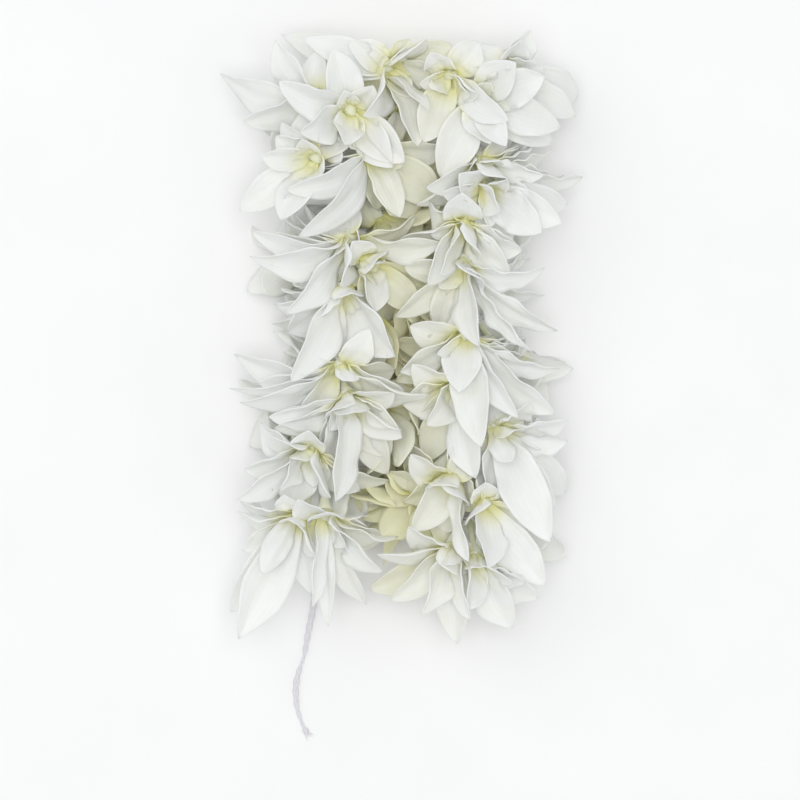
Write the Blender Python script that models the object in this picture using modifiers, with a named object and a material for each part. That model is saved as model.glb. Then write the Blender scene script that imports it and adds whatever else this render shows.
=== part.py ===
"""A pair of jasmine gajras, two strings of jasmine blooms, laid side by side on a table.

The strings lie along Y with their hanging ends towards -Y. Z is up and the table is at z = 0.
The origin is under the middle of the pair's bounding box, without the loose thread.

Each string is a cotton thread with a row of knots. At each knot it holds one bloom by its thin
tube. A bloom is a tube that widens to a throat, with pointed petals that rise from the throat
and arch outwards. The petals that face up are placed by hand, the way the blooms hang. The
rest fill the gaps round each bloom by a rule. A petal that would cross another bloom is bent
clear of it: its tip is lowered, raised or swung aside until it is free.
"""
import math
import random

import bmesh
import bpy
import numpy as np
from mathutils import Matrix, Vector
from mathutils.bvhtree import BVHTree

# Driving dimensions, in millimetres and degrees
MM = 0.001
THREAD_RADIUS = 0.7
THREAD_HEIGHT = 11.0
THREAD_POINTS = 40
THREAD_SIDES = 6
KNOT_RADIUS = 1.15
KNOT_SWELL = KNOT_RADIUS / THREAD_RADIUS
KNOT_BEHIND = 6.5
KNOT_SPACING = 2.9
GAP = 0.3
TUBE_FOOT_RADIUS = 0.55
THROAT_RADIUS = 1.9
THROAT_DOME = 1.6
TUBE_SIDES = 5
ROOT_RING = 1.15
ROOT_DEPTH = 0.45
PETAL_THICKNESS = 0.65
FILL_PETAL_LENGTH = 15.0
FILL_PETAL_WIDTH = 6.8
PETALS_ROUND_A_BLOOM = 5
PETALS_ON_A_HIDDEN_BLOOM = 4
INNER_WHORL = (34, 44)
OUTER_WHORL = (60, 72)
THROAT_RISE = 7.0
THROAT_SPREAD = 15.0
TIP_RISE = 13.5
TIP_SPREAD = 21.0
HIGHEST = 26.5
LOWEST_AIM = -4.0
PRESSED_BELOW = 0.25
PETAL_ARCH = 0.36
PETAL_FLARE = 0.2
PETAL_CUP = 0.34
FRONT_PETAL_ROLL = 22
FILL_PETAL_ROLL = 20
WIDER = 1.15
FRONT_ROWS = (0.3, 0.6, 0.85)
FILL_ROWS = (0.4, 0.78)
SEED = 11

# How a petal is bent clear of its neighbours, and what each bend costs in the search: its tip
# swings sideways by degrees, lifts by millimetres, or the petal shrinks
SWINGS = (0, 4, -4, 8, -8, 12, -12, 17, -17)
LIFTS = (0, -1, 1, -2, 2, -3, 3, -4.5, 4.5, -6, 6, -8, 8)
SIZES = (1.0, 0.88)
SWING_COST = 0.6
SHRINK_COST = 30
CROSSING_COST = 2.5

# The point on the table under the middle of the pair, which becomes the origin
MIDDLE = Vector((0, 11.8, 0))

# Where each thread runs, seen from above, from its top end to its hanging end
LEFT_THREAD = [(-9.5, 70.5), (-11.5, 56), (-12.5, 38), (-12.5, 20), (-13, 2), (-15, -10), (-16, -17)]
RIGHT_THREAD = [(12, 70.5), (14, 54), (14.5, 34), (14, 14), (14.5, -4), (14, -16), (13.5, -25)]

# The loose end of the left thread: it leaves the last knot, drops to the table and trails there
TAIL_ROUTE = [
    (-16.05, -17.35, 10.98), (-16.3, -22, 9.9), (-16.7, -28, 5.6), (-17.1, -33, 2.2),
    (-17.4, -38, 0.9), (-17.9, -43, 0.72), (-18.9, -48, 0.72), (-19.7, -52.5, 0.72),
    (-20.7, -55.5, 0.72), (-21.4, -59, 0.72), (-21.2, -63, 0.72), (-20.3, -66, 0.72),
    (-19.4, -68, 0.72),
]
TAIL_POINTS = 26
TAIL_SIDES = 8

# Blooms that face up: name, throat (x, y), and petals (tip x, tip y, width, lift of the tip)
LEFT_BLOOMS = [
    ("left_top_front", (-3, 66.5), [
        (-6, 55.5, 7.6, 2), (1, 49.5, 6.4, 0), (6, 57.5, 4.5, 0), (-10, 71, 5, -2), (2, 72, 5, -4)]),
    ("left_top_outer", (-15, 60.5), [
        (-37, 65.5, 6.5, 0), (-32, 59, 7.5, -2), (-25, 70.5, 6, 0), (-16, 72, 6, 2)]),
    ("left_top_middle", (-10, 58), [
        (-20, 53, 6, 1), (-14, 69, 6, 1), (-23, 65, 6, 1), (-11, 50, 5, -1)]),
    ("left_second_inner", (-6, 50), [
        (8.5, 40, 7, 1), (-22.5, 41, 6, 1.5), (-23, 35, 7.5, 1), (-29, 35, 6, -4), (1, 57, 5, -3)]),
    ("left_second_outer", (-16.5, 48.5), [
        (-27.5, 48.5, 5, 2), (-29, 44.5, 6, 0), (-33.5, 40, 5.5, -2), (-24, 55, 5, -1)]),
    ("left_third", (-10, 32.5), [
        (-30.5, 33, 5.5, 0), (-29.5, 27.5, 6.5, -1), (-25, 19.5, 6, 0), (-11, 22.5, 7, 1.5),
        (8, 27, 5, 3), (6.5, 32, 5, 0)]),
    ("left_third_inner", (-7, 28), [
        (11.5, 23, 5, -1), (-4, 18, 6, -2)]),
    ("left_fourth", (-11.5, 22.5), [
        (-1, 8.5, 9, 1.5), (-22.5, 13, 8, 0), (-21.5, 3.5, 6.5, 1), (-24, 22, 5, -3)]),
    ("left_fifth", (-12, 7), [
        (-34, 9, 6.5, 0), (-34.5, 5, 3.5, 1), (-32.5, 1.5, 6, 0), (2.5, -5, 7.5, 1.5), (-6, 14, 5, 0)]),
    ("left_sixth", (-10.5, 1), [
        (-11.5, -20, 6.5, 1), (-2.5, -15.5, 5.5, 1), (-26, -3, 6.5, 1), (-0.5, -7, 3, -1)]),
    ("left_seventh", (-17.5, -9.5), [
        (-31, -14, 6.5, 0), (-32, -20, 5.5, -1), (-23.5, -18, 4, 1), (-29, -5, 6, -3)]),
    ("left_bottom_outer", (-20, -23), [
        (-32.5, -23.5, 5.5, 0), (-34, -42.5, 7, -3), (-32, -47.5, 8, -4), (-27, -34, 4.5, -1)]),
    ("left_bottom_inner", (-15, -22.5), [
        (-17.5, -41, 4, 0), (-14.5, -45.5, 3, -5), (-10, -43, 4, -5), (-6, -36, 8, -2),
        (-1.5, -30.5, 5, -2)]),
]
RIGHT_BLOOMS = [
    ("right_top_inner", (10, 65), [
        (7, 61, 4, -1), (6, 68.5, 5, -2), (16, 71.5, 6, 0), (15, 60, 5, 1)]),
    ("right_top_outer", (19, 65), [
        (28.5, 66.5, 6.5, 1), (37, 61.5, 6.5, -2), (32, 65, 4, 0), (24, 71, 5.5, 1), (36.5, 58, 5, -4)]),
    ("right_second", (14.5, 60), [
        (32.5, 54, 6, 1), (31, 51.5, 6.5, -2), (21, 50, 4.5, 2), (8, 44.5, 7, -5)]),
    ("right_third_outer", (16, 48), [
        (37, 45, 5.5, -1), (28.5, 44.5, 4, 3), (31, 50, 5, -4), (22, 57, 5, -2)]),
    ("right_third_inner", (17, 42.5), [
        (34, 39, 7, -1), (32, 35, 6, -3), (28, 33, 7, 1), (20, 36.5, 5, 2), (8.5, 40.5, 4.5, 1)]),
    ("right_fourth", (13, 35.5), [
        (0, 32, 6.5, -1), (15.5, 28.5, 6.5, 1), (5, 39, 5, -4), (24, 29, 6, -2)]),
    ("right_fifth", (12.5, 27.5), [
        (29, 25, 5.5, 1), (33.5, 16.5, 5, -2), (31, 14, 4, -4), (15.5, 10.5, 7.5, 1.5), (-1, 16.5, 5, -1)]),
    ("right_sixth", (13, 13.5), [
        (32, 5, 5.5, 0), (33, -0.5, 6, -2), (17.5, -9, 6.5, 1), (0, 5.5, 5, 0), (23.5, -3.5, 4.5, 2)]),
    ("right_seventh", (11, 3), [
        (0.5, -1, 7, 0), (6.5, -5, 6, 1), (12, -16, 6, 1.5)]),
    ("right_eighth", (19, -5.5), [
        (33.5, -8, 6, 1), (36, -17, 6.5, -1), (31, -22, 5, -1), (29.5, -28, 8, 0), (22, -13, 4, 2)]),
    ("right_ninth", (10.5, -15), [
        (3, -26, 6, 0), (0.5, -21, 5, -2), (9.5, -32, 4, 1), (2, -11, 6, -3)]),
    ("right_tenth", (16.5, -20.5), [
        (18.5, -32.5, 7.5, 2), (29, -37, 6.5, -1), (24.5, -40.5, 5, -2)]),
    ("right_bottom_inner", (10.5, -29), [
        (-6, -38, 6, -3), (-2, -39.5, 5.5, -5), (5, -42.5, 5.5, -3), (7.5, -48.5, 6.5, -3)]),
    ("right_bottom_outer", (15, -31), [
        (15.5, -41, 7, 0), (22.5, -45.5, 6.5, -4), (13, -43.5, 4, -4), (26, -33, 5, -5)]),
]

# Blooms placed by a rule on each string: those under the thread face the table, and the inner
# ones face the other string
UNDER_BLOOMS = 6
UNDER_THROAT_HEIGHT = 4.6
UNDER_LEAN = 6.5
INNER_BLOOMS = 4
INNER_THROAT_HEIGHT = 9.5
INNER_LEAN = 8.5


def smooth_line(points, count):
    """That many points, evenly spaced, on a smooth curve through the given ones."""
    line = [Vector(p) for p in points]
    padded = [2 * line[0] - line[1]] + line + [2 * line[-1] - line[-2]]
    fine = []
    for before, start, end, after in zip(padded, padded[1:], padded[2:], padded[3:]):
        for step in range(24):
            t = step / 24
            fine.append(0.5 * (2 * start + (end - before) * t
                               + (2 * before - 5 * start + 4 * end - after) * t ** 2
                               + (3 * start - before - 3 * end + after) * t ** 3))
    fine.append(line[-1])
    run = [0.0]
    for a, b in zip(fine, fine[1:]):
        run.append(run[-1] + (b - a).length)
    wanted = np.linspace(0, run[-1], count)
    return [Vector(p) for p in np.stack(
        [np.interp(wanted, run, [q[axis] for q in fine]) for axis in range(3)], axis=1)]


def outline(u):
    """Half the width of a petal at u along it, where its widest half is 1."""
    return math.sin(math.pi * u ** 1.45) ** 0.8


def petal_sheet(petal, rows, grow=0.0):
    """The middle surface of a petal: a pointed root, rows of three points, left edge, rib and
    right edge, and a pointed tip. With grow, the sheet is larger by that much all round."""
    root, axis, tip, width, roll = petal
    reach = tip - root
    side = axis.cross(reach)
    if side.length < 0.05 * reach.length:
        side = reach.cross(Vector((0, 0, 1)))
    side.normalize()
    if grow:
        tip = tip + reach.normalized() * grow
    outwards_part = reach - axis * reach.dot(axis)
    control = root + axis * reach.length * PETAL_ARCH + outwards_part * PETAL_FLARE
    points = [root]
    for u in rows:
        place = root * (1 - u) ** 2 + control * 2 * u * (1 - u) + tip * u ** 2
        tangent = ((control - root) * (1 - u) + (tip - control) * u).normalized()
        across = (Matrix.Rotation(roll * u, 3, tangent) @ side).normalized()
        inner = tangent.cross(across)
        half = 0.5 * width * outline(u) + grow
        for v in (-1, 0, 1):
            points.append(place + across * half * v + inner * PETAL_CUP * half * abs(v))
    points.append(tip)
    lowest = 0.5 * PETAL_THICKNESS
    return [Vector((p.x, p.y, max(p.z, lowest))) for p in points]


def sheet_faces(points):
    """Triangles over the rows of three points, from the root to the tip."""
    tip = len(points) - 1
    faces = [(0, 1, 2), (0, 2, 3)]
    for a in range(1, tip - 3, 3):
        b = a + 3
        faces += [(a, b, a + 1), (a + 1, b, b + 1), (a + 1, b + 1, a + 2), (a + 2, b + 1, b + 2)]
    return faces + [(tip - 3, tip, tip - 2), (tip - 2, tip, tip - 1)]


def clear_shell(petal, rows, distance):
    """A closed shell all round a petal, at that distance from its middle surface, and which of
    its faces are at the root."""
    points = petal_sheet(petal, rows, grow=distance)
    faces = sheet_faces(points)
    normals = [Vector() for _ in points]
    for face in faces:
        a, b, c = (points[i] for i in face)
        for i in face:
            normals[i] += (b - a).cross(c - a)
    count = len(points)
    shell = [p + n.normalized() * distance for p, n in zip(points, normals)]
    shell += [p - n.normalized() * distance for p, n in zip(points, normals)]
    edge = [0, *range(1, count - 1, 3), count - 1, *reversed(range(3, count - 1, 3))]
    closed = list(faces) + [tuple(i + count for i in face) for face in faces]
    for a, b in zip(edge, edge[1:] + edge[:1]):
        closed += [(a, b, b + count), (a, b + count, a + count)]
    near_root = {k for k, face in enumerate(closed) if min(i % count for i in face) == 0}
    return shell, closed, near_root


class Crowd:
    """What stands already, bloom by bloom, so that a new petal can be tested against it."""

    def __init__(self):
        self.points, self.faces, self.owners, self.on_petal = [], [], [], []
        self.tree = None

    def add(self, points, faces, owner, petal=False):
        """Adds a tube, a thread or a petal. A petal may grow out of its own bloom's tube."""
        base = len(self.points)
        self.points += points
        self.faces += [tuple(i + base for i in face) for face in faces]
        self.owners += [owner] * len(faces)
        self.on_petal += [petal] * len(faces)

    def settle(self):
        """Readies the search tree for what was added."""
        self.tree = BVHTree.FromPolygons(self.points, self.faces)

    def crossings(self, points, faces, near_root, owner):
        """How many faces of its own bloom's petals it crosses, apart from near its root, or None
        where it crosses anything else."""
        own = 0
        for mine, theirs in self.tree.overlap(BVHTree.FromPolygons(points, faces)):
            if self.owners[mine] != owner:
                return None
            own += self.on_petal[mine] and theirs not in near_root
        return own


def tube_mesh(foot, throat):
    """A bloom's tube: slim at the foot, widening to the throat, and closed by a low cone that
    the petals stand on."""
    way = throat - foot
    rings = [(foot, TUBE_FOOT_RADIUS), (foot + 0.7 * way, TUBE_FOOT_RADIUS + 0.15), (throat, THROAT_RADIUS)]
    side = way.orthogonal().normalized()
    points, faces = [], []
    for centre, radius in rings:
        for k in range(TUBE_SIDES):
            spoke = Matrix.Rotation(2 * math.pi * k / TUBE_SIDES, 3, way) @ side
            points.append(centre + spoke * radius)
    top = len(points) - TUBE_SIDES
    for ring in range(len(rings) - 1):
        for k in range(TUBE_SIDES):
            a, b = ring * TUBE_SIDES + k, ring * TUBE_SIDES + (k + 1) % TUBE_SIDES
            faces += [(a, b, b + TUBE_SIDES), (a, b + TUBE_SIDES, a + TUBE_SIDES)]
    faces += [(0, k + 1, k) for k in range(1, TUBE_SIDES - 1)]
    faces += [(top + k, top + (k + 1) % TUBE_SIDES, len(points)) for k in range(TUBE_SIDES)]
    points.append(throat + way.normalized() * THROAT_DOME)
    return points, faces


def thread_at(route, y):
    """The thread's middle where it passes y, taken from its route seen from above."""
    ys = [p[1] for p in route][::-1]
    xs = [p[0] for p in route][::-1]
    return Vector((float(np.interp(y, ys, xs)), y, THREAD_HEIGHT))


def dome(x, y, route, rise, spread):
    """A height over the thread that is greatest above it and falls away to its sides."""
    off = (x - thread_at(route, y).x) / spread
    return THREAD_HEIGHT + rise * math.sqrt(max(0.0, 1 - off ** 2))


def ruled_blooms(side, route):
    """The blooms placed by rule: name, throat. Some face the table, turned by turns to the left
    and right, and some face the other string."""
    rows = []
    top, bottom = route[0][1] - 10, route[-1][1] + 1
    for k in range(UNDER_BLOOMS):
        y = top + (bottom - top) * k / (UNDER_BLOOMS - 1)
        x = thread_at(route, y).x + UNDER_LEAN * (1 if k % 2 else -1)
        rows.append((f"{side}_under_{k + 1}", Vector((x, y, UNDER_THROAT_HEIGHT))))
    top, bottom = route[0][1] - 14, route[-1][1] + 6
    inwards = 1 if side == "left" else -1
    for k in range(INNER_BLOOMS):
        y = top + (bottom - top) * (k + (0 if inwards > 0 else 0.5)) / (INNER_BLOOMS - 0.5)
        x = thread_at(route, y).x + INNER_LEAN * inwards
        rows.append((f"{side}_inner_{k + 1}", Vector((x, y, INNER_THROAT_HEIGHT))))
    return rows


def knot_places(throats, route):
    """Where each bloom's knot sits along the thread: a little behind its throat, none closer to
    the next than the knot spacing. The throats come from the top down."""
    places = [y + KNOT_BEHIND for y in throats]
    highest, lowest = route[0][1] - 1.5, route[-1][1] + 1.2
    places[0] = min(places[0], highest)
    for k in range(1, len(places)):
        places[k] = min(places[k], places[k - 1] - KNOT_SPACING)
    places[-1] = max(places[-1], lowest)
    for k in reversed(range(len(places) - 1)):
        places[k] = max(places[k], places[k + 1] + KNOT_SPACING)
    return places


def grow_blooms():
    """Every bloom: its tube and the petals that stand clear of the others."""
    blooms = []
    for side, route, table in (("left", LEFT_THREAD, LEFT_BLOOMS), ("right", RIGHT_THREAD, RIGHT_BLOOMS)):
        rows = [(name, Vector((x, y, dome(x, y, route, THROAT_RISE, THROAT_SPREAD))), tips)
                for name, (x, y), tips in table]
        rows += [(name, throat, []) for name, throat in ruled_blooms(side, route)]
        rows.sort(key=lambda row: -row[1].y)
        places = knot_places([row[1].y for row in rows], route)
        for (name, throat, tips), foot_y in zip(rows, places):
            knot = thread_at(route, foot_y)
            beside = (throat - knot) * Vector((1, 0, 1))
            foot = knot + beside.normalized() * (KNOT_RADIUS + GAP + 0.5 * TUBE_FOOT_RADIUS)
            way = (throat - foot).normalized()
            blooms.append({
                "name": name, "side": side, "route": route, "tips": tips,
                "knot": knot, "foot": foot, "throat": throat, "axis": way, "petals": [],
                "draw": random.Random(f"{name} {SEED}"),
            })
    crowd = Crowd()
    for bloom in blooms:
        crowd.add(*tube_mesh(bloom["foot"], bloom["throat"]), bloom["name"])
    for route in (LEFT_THREAD, RIGHT_THREAD):
        add_line(crowd, thread_line(route), THREAD_RADIUS, "thread")
    add_line(crowd, smooth_line(TAIL_ROUTE, TAIL_POINTS), THREAD_RADIUS, "tail")
    crowd.settle()
    in_turn = sorted(blooms, key=lambda b: (not b["tips"], -b["throat"].y))
    for bloom in in_turn:
        hand_petals(bloom, crowd)
    for bloom in in_turn:
        fill_petals(bloom, crowd)
    return blooms


def thread_line(route):
    """A thread's middle line, level above the table."""
    return smooth_line([(x, y, THREAD_HEIGHT) for x, y in route], THREAD_POINTS)


def add_line(crowd, line, radius, owner):
    """A thread as an obstacle: a square tube round its line."""
    points, faces = [], []
    for p in line:
        points += [p + Vector((dx * radius, 0, dz * radius))
                   for dx, dz in ((-1, -1), (1, -1), (1, 1), (-1, 1))]
    for ring in range(len(line) - 1):
        for k in range(4):
            a, b = 4 * ring + k, 4 * ring + (k + 1) % 4
            faces += [(a, b, b + 4), (a, b + 4, a + 4)]
    crowd.add(points, faces, owner)


def place_petal(bloom, crowd, tip, width, roll, rows):
    """The petal, bent until it stands clear, or nothing where no bend frees it."""
    centre, axis = bloom["throat"], bloom["axis"]
    clearance = PETAL_THICKNESS + GAP
    tries = []
    for swing in SWINGS:
        for lift in LIFTS:
            for size in SIZES:
                cost = SWING_COST * abs(swing) + abs(lift) + SHRINK_COST * (1 - size)
                tries.append((cost, swing, lift, size))
    best, least = None, math.inf
    for cost, swing, lift, size in sorted(tries):
        if cost >= least:
            break
        reach = Matrix.Rotation(math.radians(swing), 3, "Z") @ (tip - centre) * size
        end = centre + reach + Vector((0, 0, lift))
        if not LOWEST_AIM <= end.z <= HIGHEST:
            continue
        out = (end - centre) - axis * (end - centre).dot(axis)
        root = centre - axis * ROOT_DEPTH + out.normalized() * ROOT_RING
        petal = (root, axis, end, width, roll)
        own = crowd.crossings(*clear_shell(petal, rows, clearance), bloom["name"])
        if own is None:
            continue
        points = petal_sheet(petal, rows)
        through = crowd.crossings(points, sheet_faces(points), (), bloom["name"])
        cost += CROSSING_COST * (own + through)
        if cost < least:
            best, least = petal, cost
    return best


def keep_petal(bloom, crowd, petal, rows):
    """Gives the petal to its bloom and puts it among what stands."""
    bloom["petals"].append((petal, rows))
    points = petal_sheet(petal, rows)
    crowd.add(points, sheet_faces(points), bloom["name"], petal=True)
    crowd.settle()


def hand_petals(bloom, crowd):
    """The petals listed for a bloom that faces up."""
    draw = bloom["draw"]
    for x, y, width, lift in bloom["tips"]:
        z = dome(x, y, bloom["route"], TIP_RISE, TIP_SPREAD) + lift
        roll = math.radians(draw.uniform(-FRONT_PETAL_ROLL, FRONT_PETAL_ROLL))
        tip = Vector((x, y, min(max(z, 1.0), HIGHEST)))
        petal = place_petal(bloom, crowd, tip, width * WIDER, roll, FRONT_ROWS)
        if petal:
            keep_petal(bloom, crowd, petal, FRONT_ROWS)
        else:
            print("no room for a petal of", bloom["name"], "to", (x, y))


def fill_petals(bloom, crowd):
    """Petals in the widest gaps round the bloom's axis, until it has enough."""
    draw = bloom["draw"]
    axis = bloom["axis"]
    side = axis.orthogonal().normalized()
    other = axis.cross(side)
    taken = []
    for petal, _ in bloom["petals"]:
        reach = petal[2] - petal[0]
        taken.append(math.atan2(reach.dot(other), reach.dot(side)) % (2 * math.pi))
    if not taken:
        taken = [draw.uniform(0, 2 * math.pi)]
    wanted = PETALS_ROUND_A_BLOOM if bloom["tips"] else PETALS_ON_A_HIDDEN_BLOOM
    for _ in range(3 * wanted):
        if len(bloom["petals"]) >= wanted:
            break
        ring = sorted(taken)
        gaps = [(b - a, a) for a, b in zip(ring, ring[1:] + [ring[0] + 2 * math.pi])]
        wide, start = max(gaps)
        angle = (start + wide / 2) % (2 * math.pi)
        taken.append(angle)
        whorl = OUTER_WHORL if len(bloom["petals"]) % 2 else INNER_WHORL
        spread = math.radians(draw.uniform(*whorl))
        out = side * math.cos(angle) + other * math.sin(angle)
        heading = axis * math.cos(spread) + out * math.sin(spread)
        length = FILL_PETAL_LENGTH * draw.uniform(0.85, 1.1)
        tip = bloom["throat"] + heading * length
        tip.z = min(max(tip.z, LOWEST_AIM), HIGHEST)
        roll = math.radians(draw.uniform(-FILL_PETAL_ROLL, FILL_PETAL_ROLL))
        petal = place_petal(bloom, crowd, tip, FILL_PETAL_WIDTH * draw.uniform(0.85, 1.1), roll, FILL_ROWS)
        if petal:
            keep_petal(bloom, crowd, petal, FILL_ROWS)


def material(name, colour, roughness):
    """A plain material for one kind of sub-part."""
    made = bpy.data.materials.new(name)
    made.use_nodes = True
    shader = made.node_tree.nodes["Principled BSDF"]
    shader.inputs["Base Color"].default_value = (*colour, 1)
    shader.inputs["Roughness"].default_value = roughness
    shader.inputs["Metallic"].default_value = 0
    return made


def new_object(name, points, faces, collection, finish):
    """An object from points in millimetres, with its faces turned outwards."""
    mesh = bpy.data.meshes.new(name)
    mesh.from_pydata([(p - MIDDLE) * MM for p in points], [], faces)
    mesh.materials.append(finish)
    obj = bpy.data.objects.new(name, mesh)
    collection.objects.link(obj)
    return obj


def outwards(obj):
    """Turns every face of a closed mesh outwards."""
    work = bmesh.new()
    work.from_mesh(obj.data)
    bmesh.ops.recalc_face_normals(work, faces=work.faces)
    work.to_mesh(obj.data)
    work.free()


def applied(obj):
    """The object's mesh with its modifiers applied, and the modifiers gone."""
    graph = bpy.context.evaluated_depsgraph_get()
    mesh = bpy.data.meshes.new_from_object(obj.evaluated_get(graph))
    obj.modifiers.clear()
    old, obj.data = obj.data, mesh
    mesh.name = obj.name
    bpy.data.meshes.remove(old)


def join_all(obj, pieces):
    """One Boolean union of an object with a collection of loose pieces, which are then removed."""
    union = obj.modifiers.new("union", "BOOLEAN")
    union.operation = "UNION"
    union.operand_type = "COLLECTION"
    union.collection = pieces
    union.solver = "MANIFOLD"
    applied(obj)
    for piece in list(pieces.objects):
        bpy.data.objects.remove(piece)


def keep_largest(obj):
    """Fills a sealed hollow and drops a loose scrap: only the largest shell of faces stays."""
    work = bmesh.new()
    work.from_mesh(obj.data)
    left = set(work.faces)
    shells = []
    while left:
        shell, edge = set(), [left.pop()]
        while edge:
            face = edge.pop()
            shell.add(face)
            for side in face.edges:
                # A scrap can hang on by one edge alone, where four faces meet
                for near in side.link_faces if len(side.link_faces) == 2 else ():
                    if near in left:
                        left.remove(near)
                        edge.append(near)
        shells.append(shell)
    shells.sort(key=lambda shell: -sum(face.calc_area() for face in shell))
    loose = [face for shell in shells[1:] for face in shell]
    if loose:
        bmesh.ops.delete(work, geom=loose, context="FACES")
    work.to_mesh(obj.data)
    work.free()


def build_bloom(bloom, parts, loose, finish):
    """One bloom, with its petals fused to its tube and flattened where it presses on the table."""
    obj = new_object(bloom["name"], *tube_mesh(bloom["foot"], bloom["throat"]), parts, finish)
    outwards(obj)
    for number, (petal, rows) in enumerate(bloom["petals"]):
        points = petal_sheet(petal, rows)
        blade = new_object(f"petal_{number}", points, sheet_faces(points), loose, finish)
        wall = blade.modifiers.new("thickness", "SOLIDIFY")
        wall.thickness = PETAL_THICKNESS * MM
        wall.offset = 0
        applied(blade)
        outwards(blade)
    join_all(obj, loose)
    keep_largest(obj)
    for vertex in obj.data.vertices:
        if vertex.co.z < PRESSED_BELOW * MM:
            vertex.co.z = 0
    obj.data.shade_smooth()
    obj.data.set_sharp_from_angle(angle=math.radians(50))
    return obj


def tube_object(name, line, radius, sides, collection, finish):
    """A round thread through the points of a line."""
    curve = bpy.data.curves.new(name, "CURVE")
    curve.dimensions = "3D"
    curve.bevel_depth = radius * MM
    curve.bevel_resolution = sides // 2 - 2
    curve.use_fill_caps = True
    spline = curve.splines.new("POLY")
    spline.points.add(len(line) - 1)
    for point, place in zip(spline.points, line):
        point.co = (*((place - MIDDLE) * MM), 1)
    curve.materials.append(finish)
    obj = bpy.data.objects.new(name, curve)
    collection.objects.link(obj)
    return obj


def build_thread(name, route, knots, parts, finish):
    """A string's own thread. It swells to a knot where it holds a bloom."""
    line = [(p, 1.0) for p in thread_line(route) if min((p - k).length for k in knots) > 2 * KNOT_RADIUS]
    for knot in knots:
        for step, swell in ((-1, 1.0), (0, KNOT_SWELL), (1, 1.0)):
            line.append((thread_at(route, knot.y - step * KNOT_RADIUS), swell))
    line.sort(key=lambda entry: -entry[0].y)
    obj = tube_object(name, [p for p, _ in line], THREAD_RADIUS, THREAD_SIDES, parts, finish)
    for point, (_, swell) in zip(obj.data.splines[0].points, line):
        point.radius = swell
    return obj


def new_collection(name):
    """A collection of that name, in the scene."""
    made = bpy.data.collections.new(name)
    bpy.context.scene.collection.children.link(made)
    return made


def main():
    """Clears the scene and builds the pair."""
    for obj in list(bpy.data.objects):
        bpy.data.objects.remove(obj)
    parts = new_collection("jasmine_gajras")
    loose = new_collection("loose_pieces")
    petal_white = material("jasmine_petal", (0.86, 0.87, 0.78), 0.55)
    cotton = material("cotton_thread", (0.80, 0.79, 0.80), 0.85)
    blooms = grow_blooms()
    for bloom in blooms:
        build_bloom(bloom, parts, loose, petal_white)
    for side, route in (("left", LEFT_THREAD), ("right", RIGHT_THREAD)):
        knots = [b["knot"] for b in blooms if b["side"] == side]
        build_thread(f"{side}_thread", route, knots, parts, cotton)
    tail = smooth_line(TAIL_ROUTE, TAIL_POINTS)
    tube_object("thread_tail", tail, THREAD_RADIUS, TAIL_SIDES, parts, cotton)
    bpy.data.collections.remove(loose)
    print(len(blooms), "blooms,", sum(len(b["petals"]) for b in blooms), "petals")


main()
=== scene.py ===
# %% [markdown]
# Two strings of jasmine blooms lie side by side on a pale table. This lesson dresses the plain
# solids of the pair: every bloom gets thin, waved petals with a yellow-green throat, and the
# threads get their two twisted plies. First the imported solids are loaded. They fix where
# everything is.

import math
import random

import bmesh
import bpy
import numpy as np
from mathutils import Matrix, Vector
from mathutils.bvhtree import BVHTree


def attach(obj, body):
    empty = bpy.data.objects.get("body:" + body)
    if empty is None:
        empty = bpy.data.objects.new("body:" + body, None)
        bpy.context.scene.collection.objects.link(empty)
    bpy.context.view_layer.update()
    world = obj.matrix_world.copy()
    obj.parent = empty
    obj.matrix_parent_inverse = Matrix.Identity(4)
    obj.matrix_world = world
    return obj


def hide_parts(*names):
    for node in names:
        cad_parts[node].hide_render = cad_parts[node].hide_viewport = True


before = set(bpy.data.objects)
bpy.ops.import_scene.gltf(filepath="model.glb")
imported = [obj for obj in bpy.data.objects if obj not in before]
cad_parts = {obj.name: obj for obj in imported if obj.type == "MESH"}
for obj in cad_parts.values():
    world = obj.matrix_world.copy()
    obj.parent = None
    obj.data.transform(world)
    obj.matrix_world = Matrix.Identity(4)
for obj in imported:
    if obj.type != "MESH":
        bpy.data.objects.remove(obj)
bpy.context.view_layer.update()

# %% [markdown]
# All sizes below are in millimetres, measured from a point on the table between the strings.
# The frame's origin lies a little further up the strings, so one function moves every point
# there and turns it into metres.

# %% From millimetres on the table to the frame
MM = 0.001
MIDDLE = Vector((0, 11.8, 0))


def placed(point):
    """A point in millimetres, as the frame counts it."""
    return (point - MIDDLE) * MM


# %% [markdown]
# The picture is taken from straight above, because a garland without a head to hold it lies
# down. A long lens keeps the petals that stand highest from swelling towards the camera. The
# camera is aimed so that the picture is 160 mm wide at the height of the blooms.

# %% Camera
PICTURE_WIDTH = 160.0
BLOOM_HEIGHT = 17.0
LENS = 135
SENSOR = 36
camera = bpy.data.objects.new("camera", bpy.data.cameras.new("camera"))
bpy.context.scene.collection.objects.link(camera)
camera.data.lens = LENS
camera.data.sensor_width = SENSOR
camera_height = BLOOM_HEIGHT + PICTURE_WIDTH * LENS / SENSOR
camera.location = placed(Vector((0, 0, camera_height)))
camera.data.clip_start = 0.01
camera.data.clip_end = 20
bpy.context.scene.camera = camera
print("camera", round(camera_height), "mm above the table")

# %% [markdown]
# White petals on a white table show only by their shading, so the light is bright and soft.
# A pale sky fills the shadows, one broad lamp from the upper left gives shape, and a weak one
# opposite softens its far side. The strongest hangs beside the camera and reaches down between
# the petals, as light does that soaks through real ones. Powers are in watts, places in metres.

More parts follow.
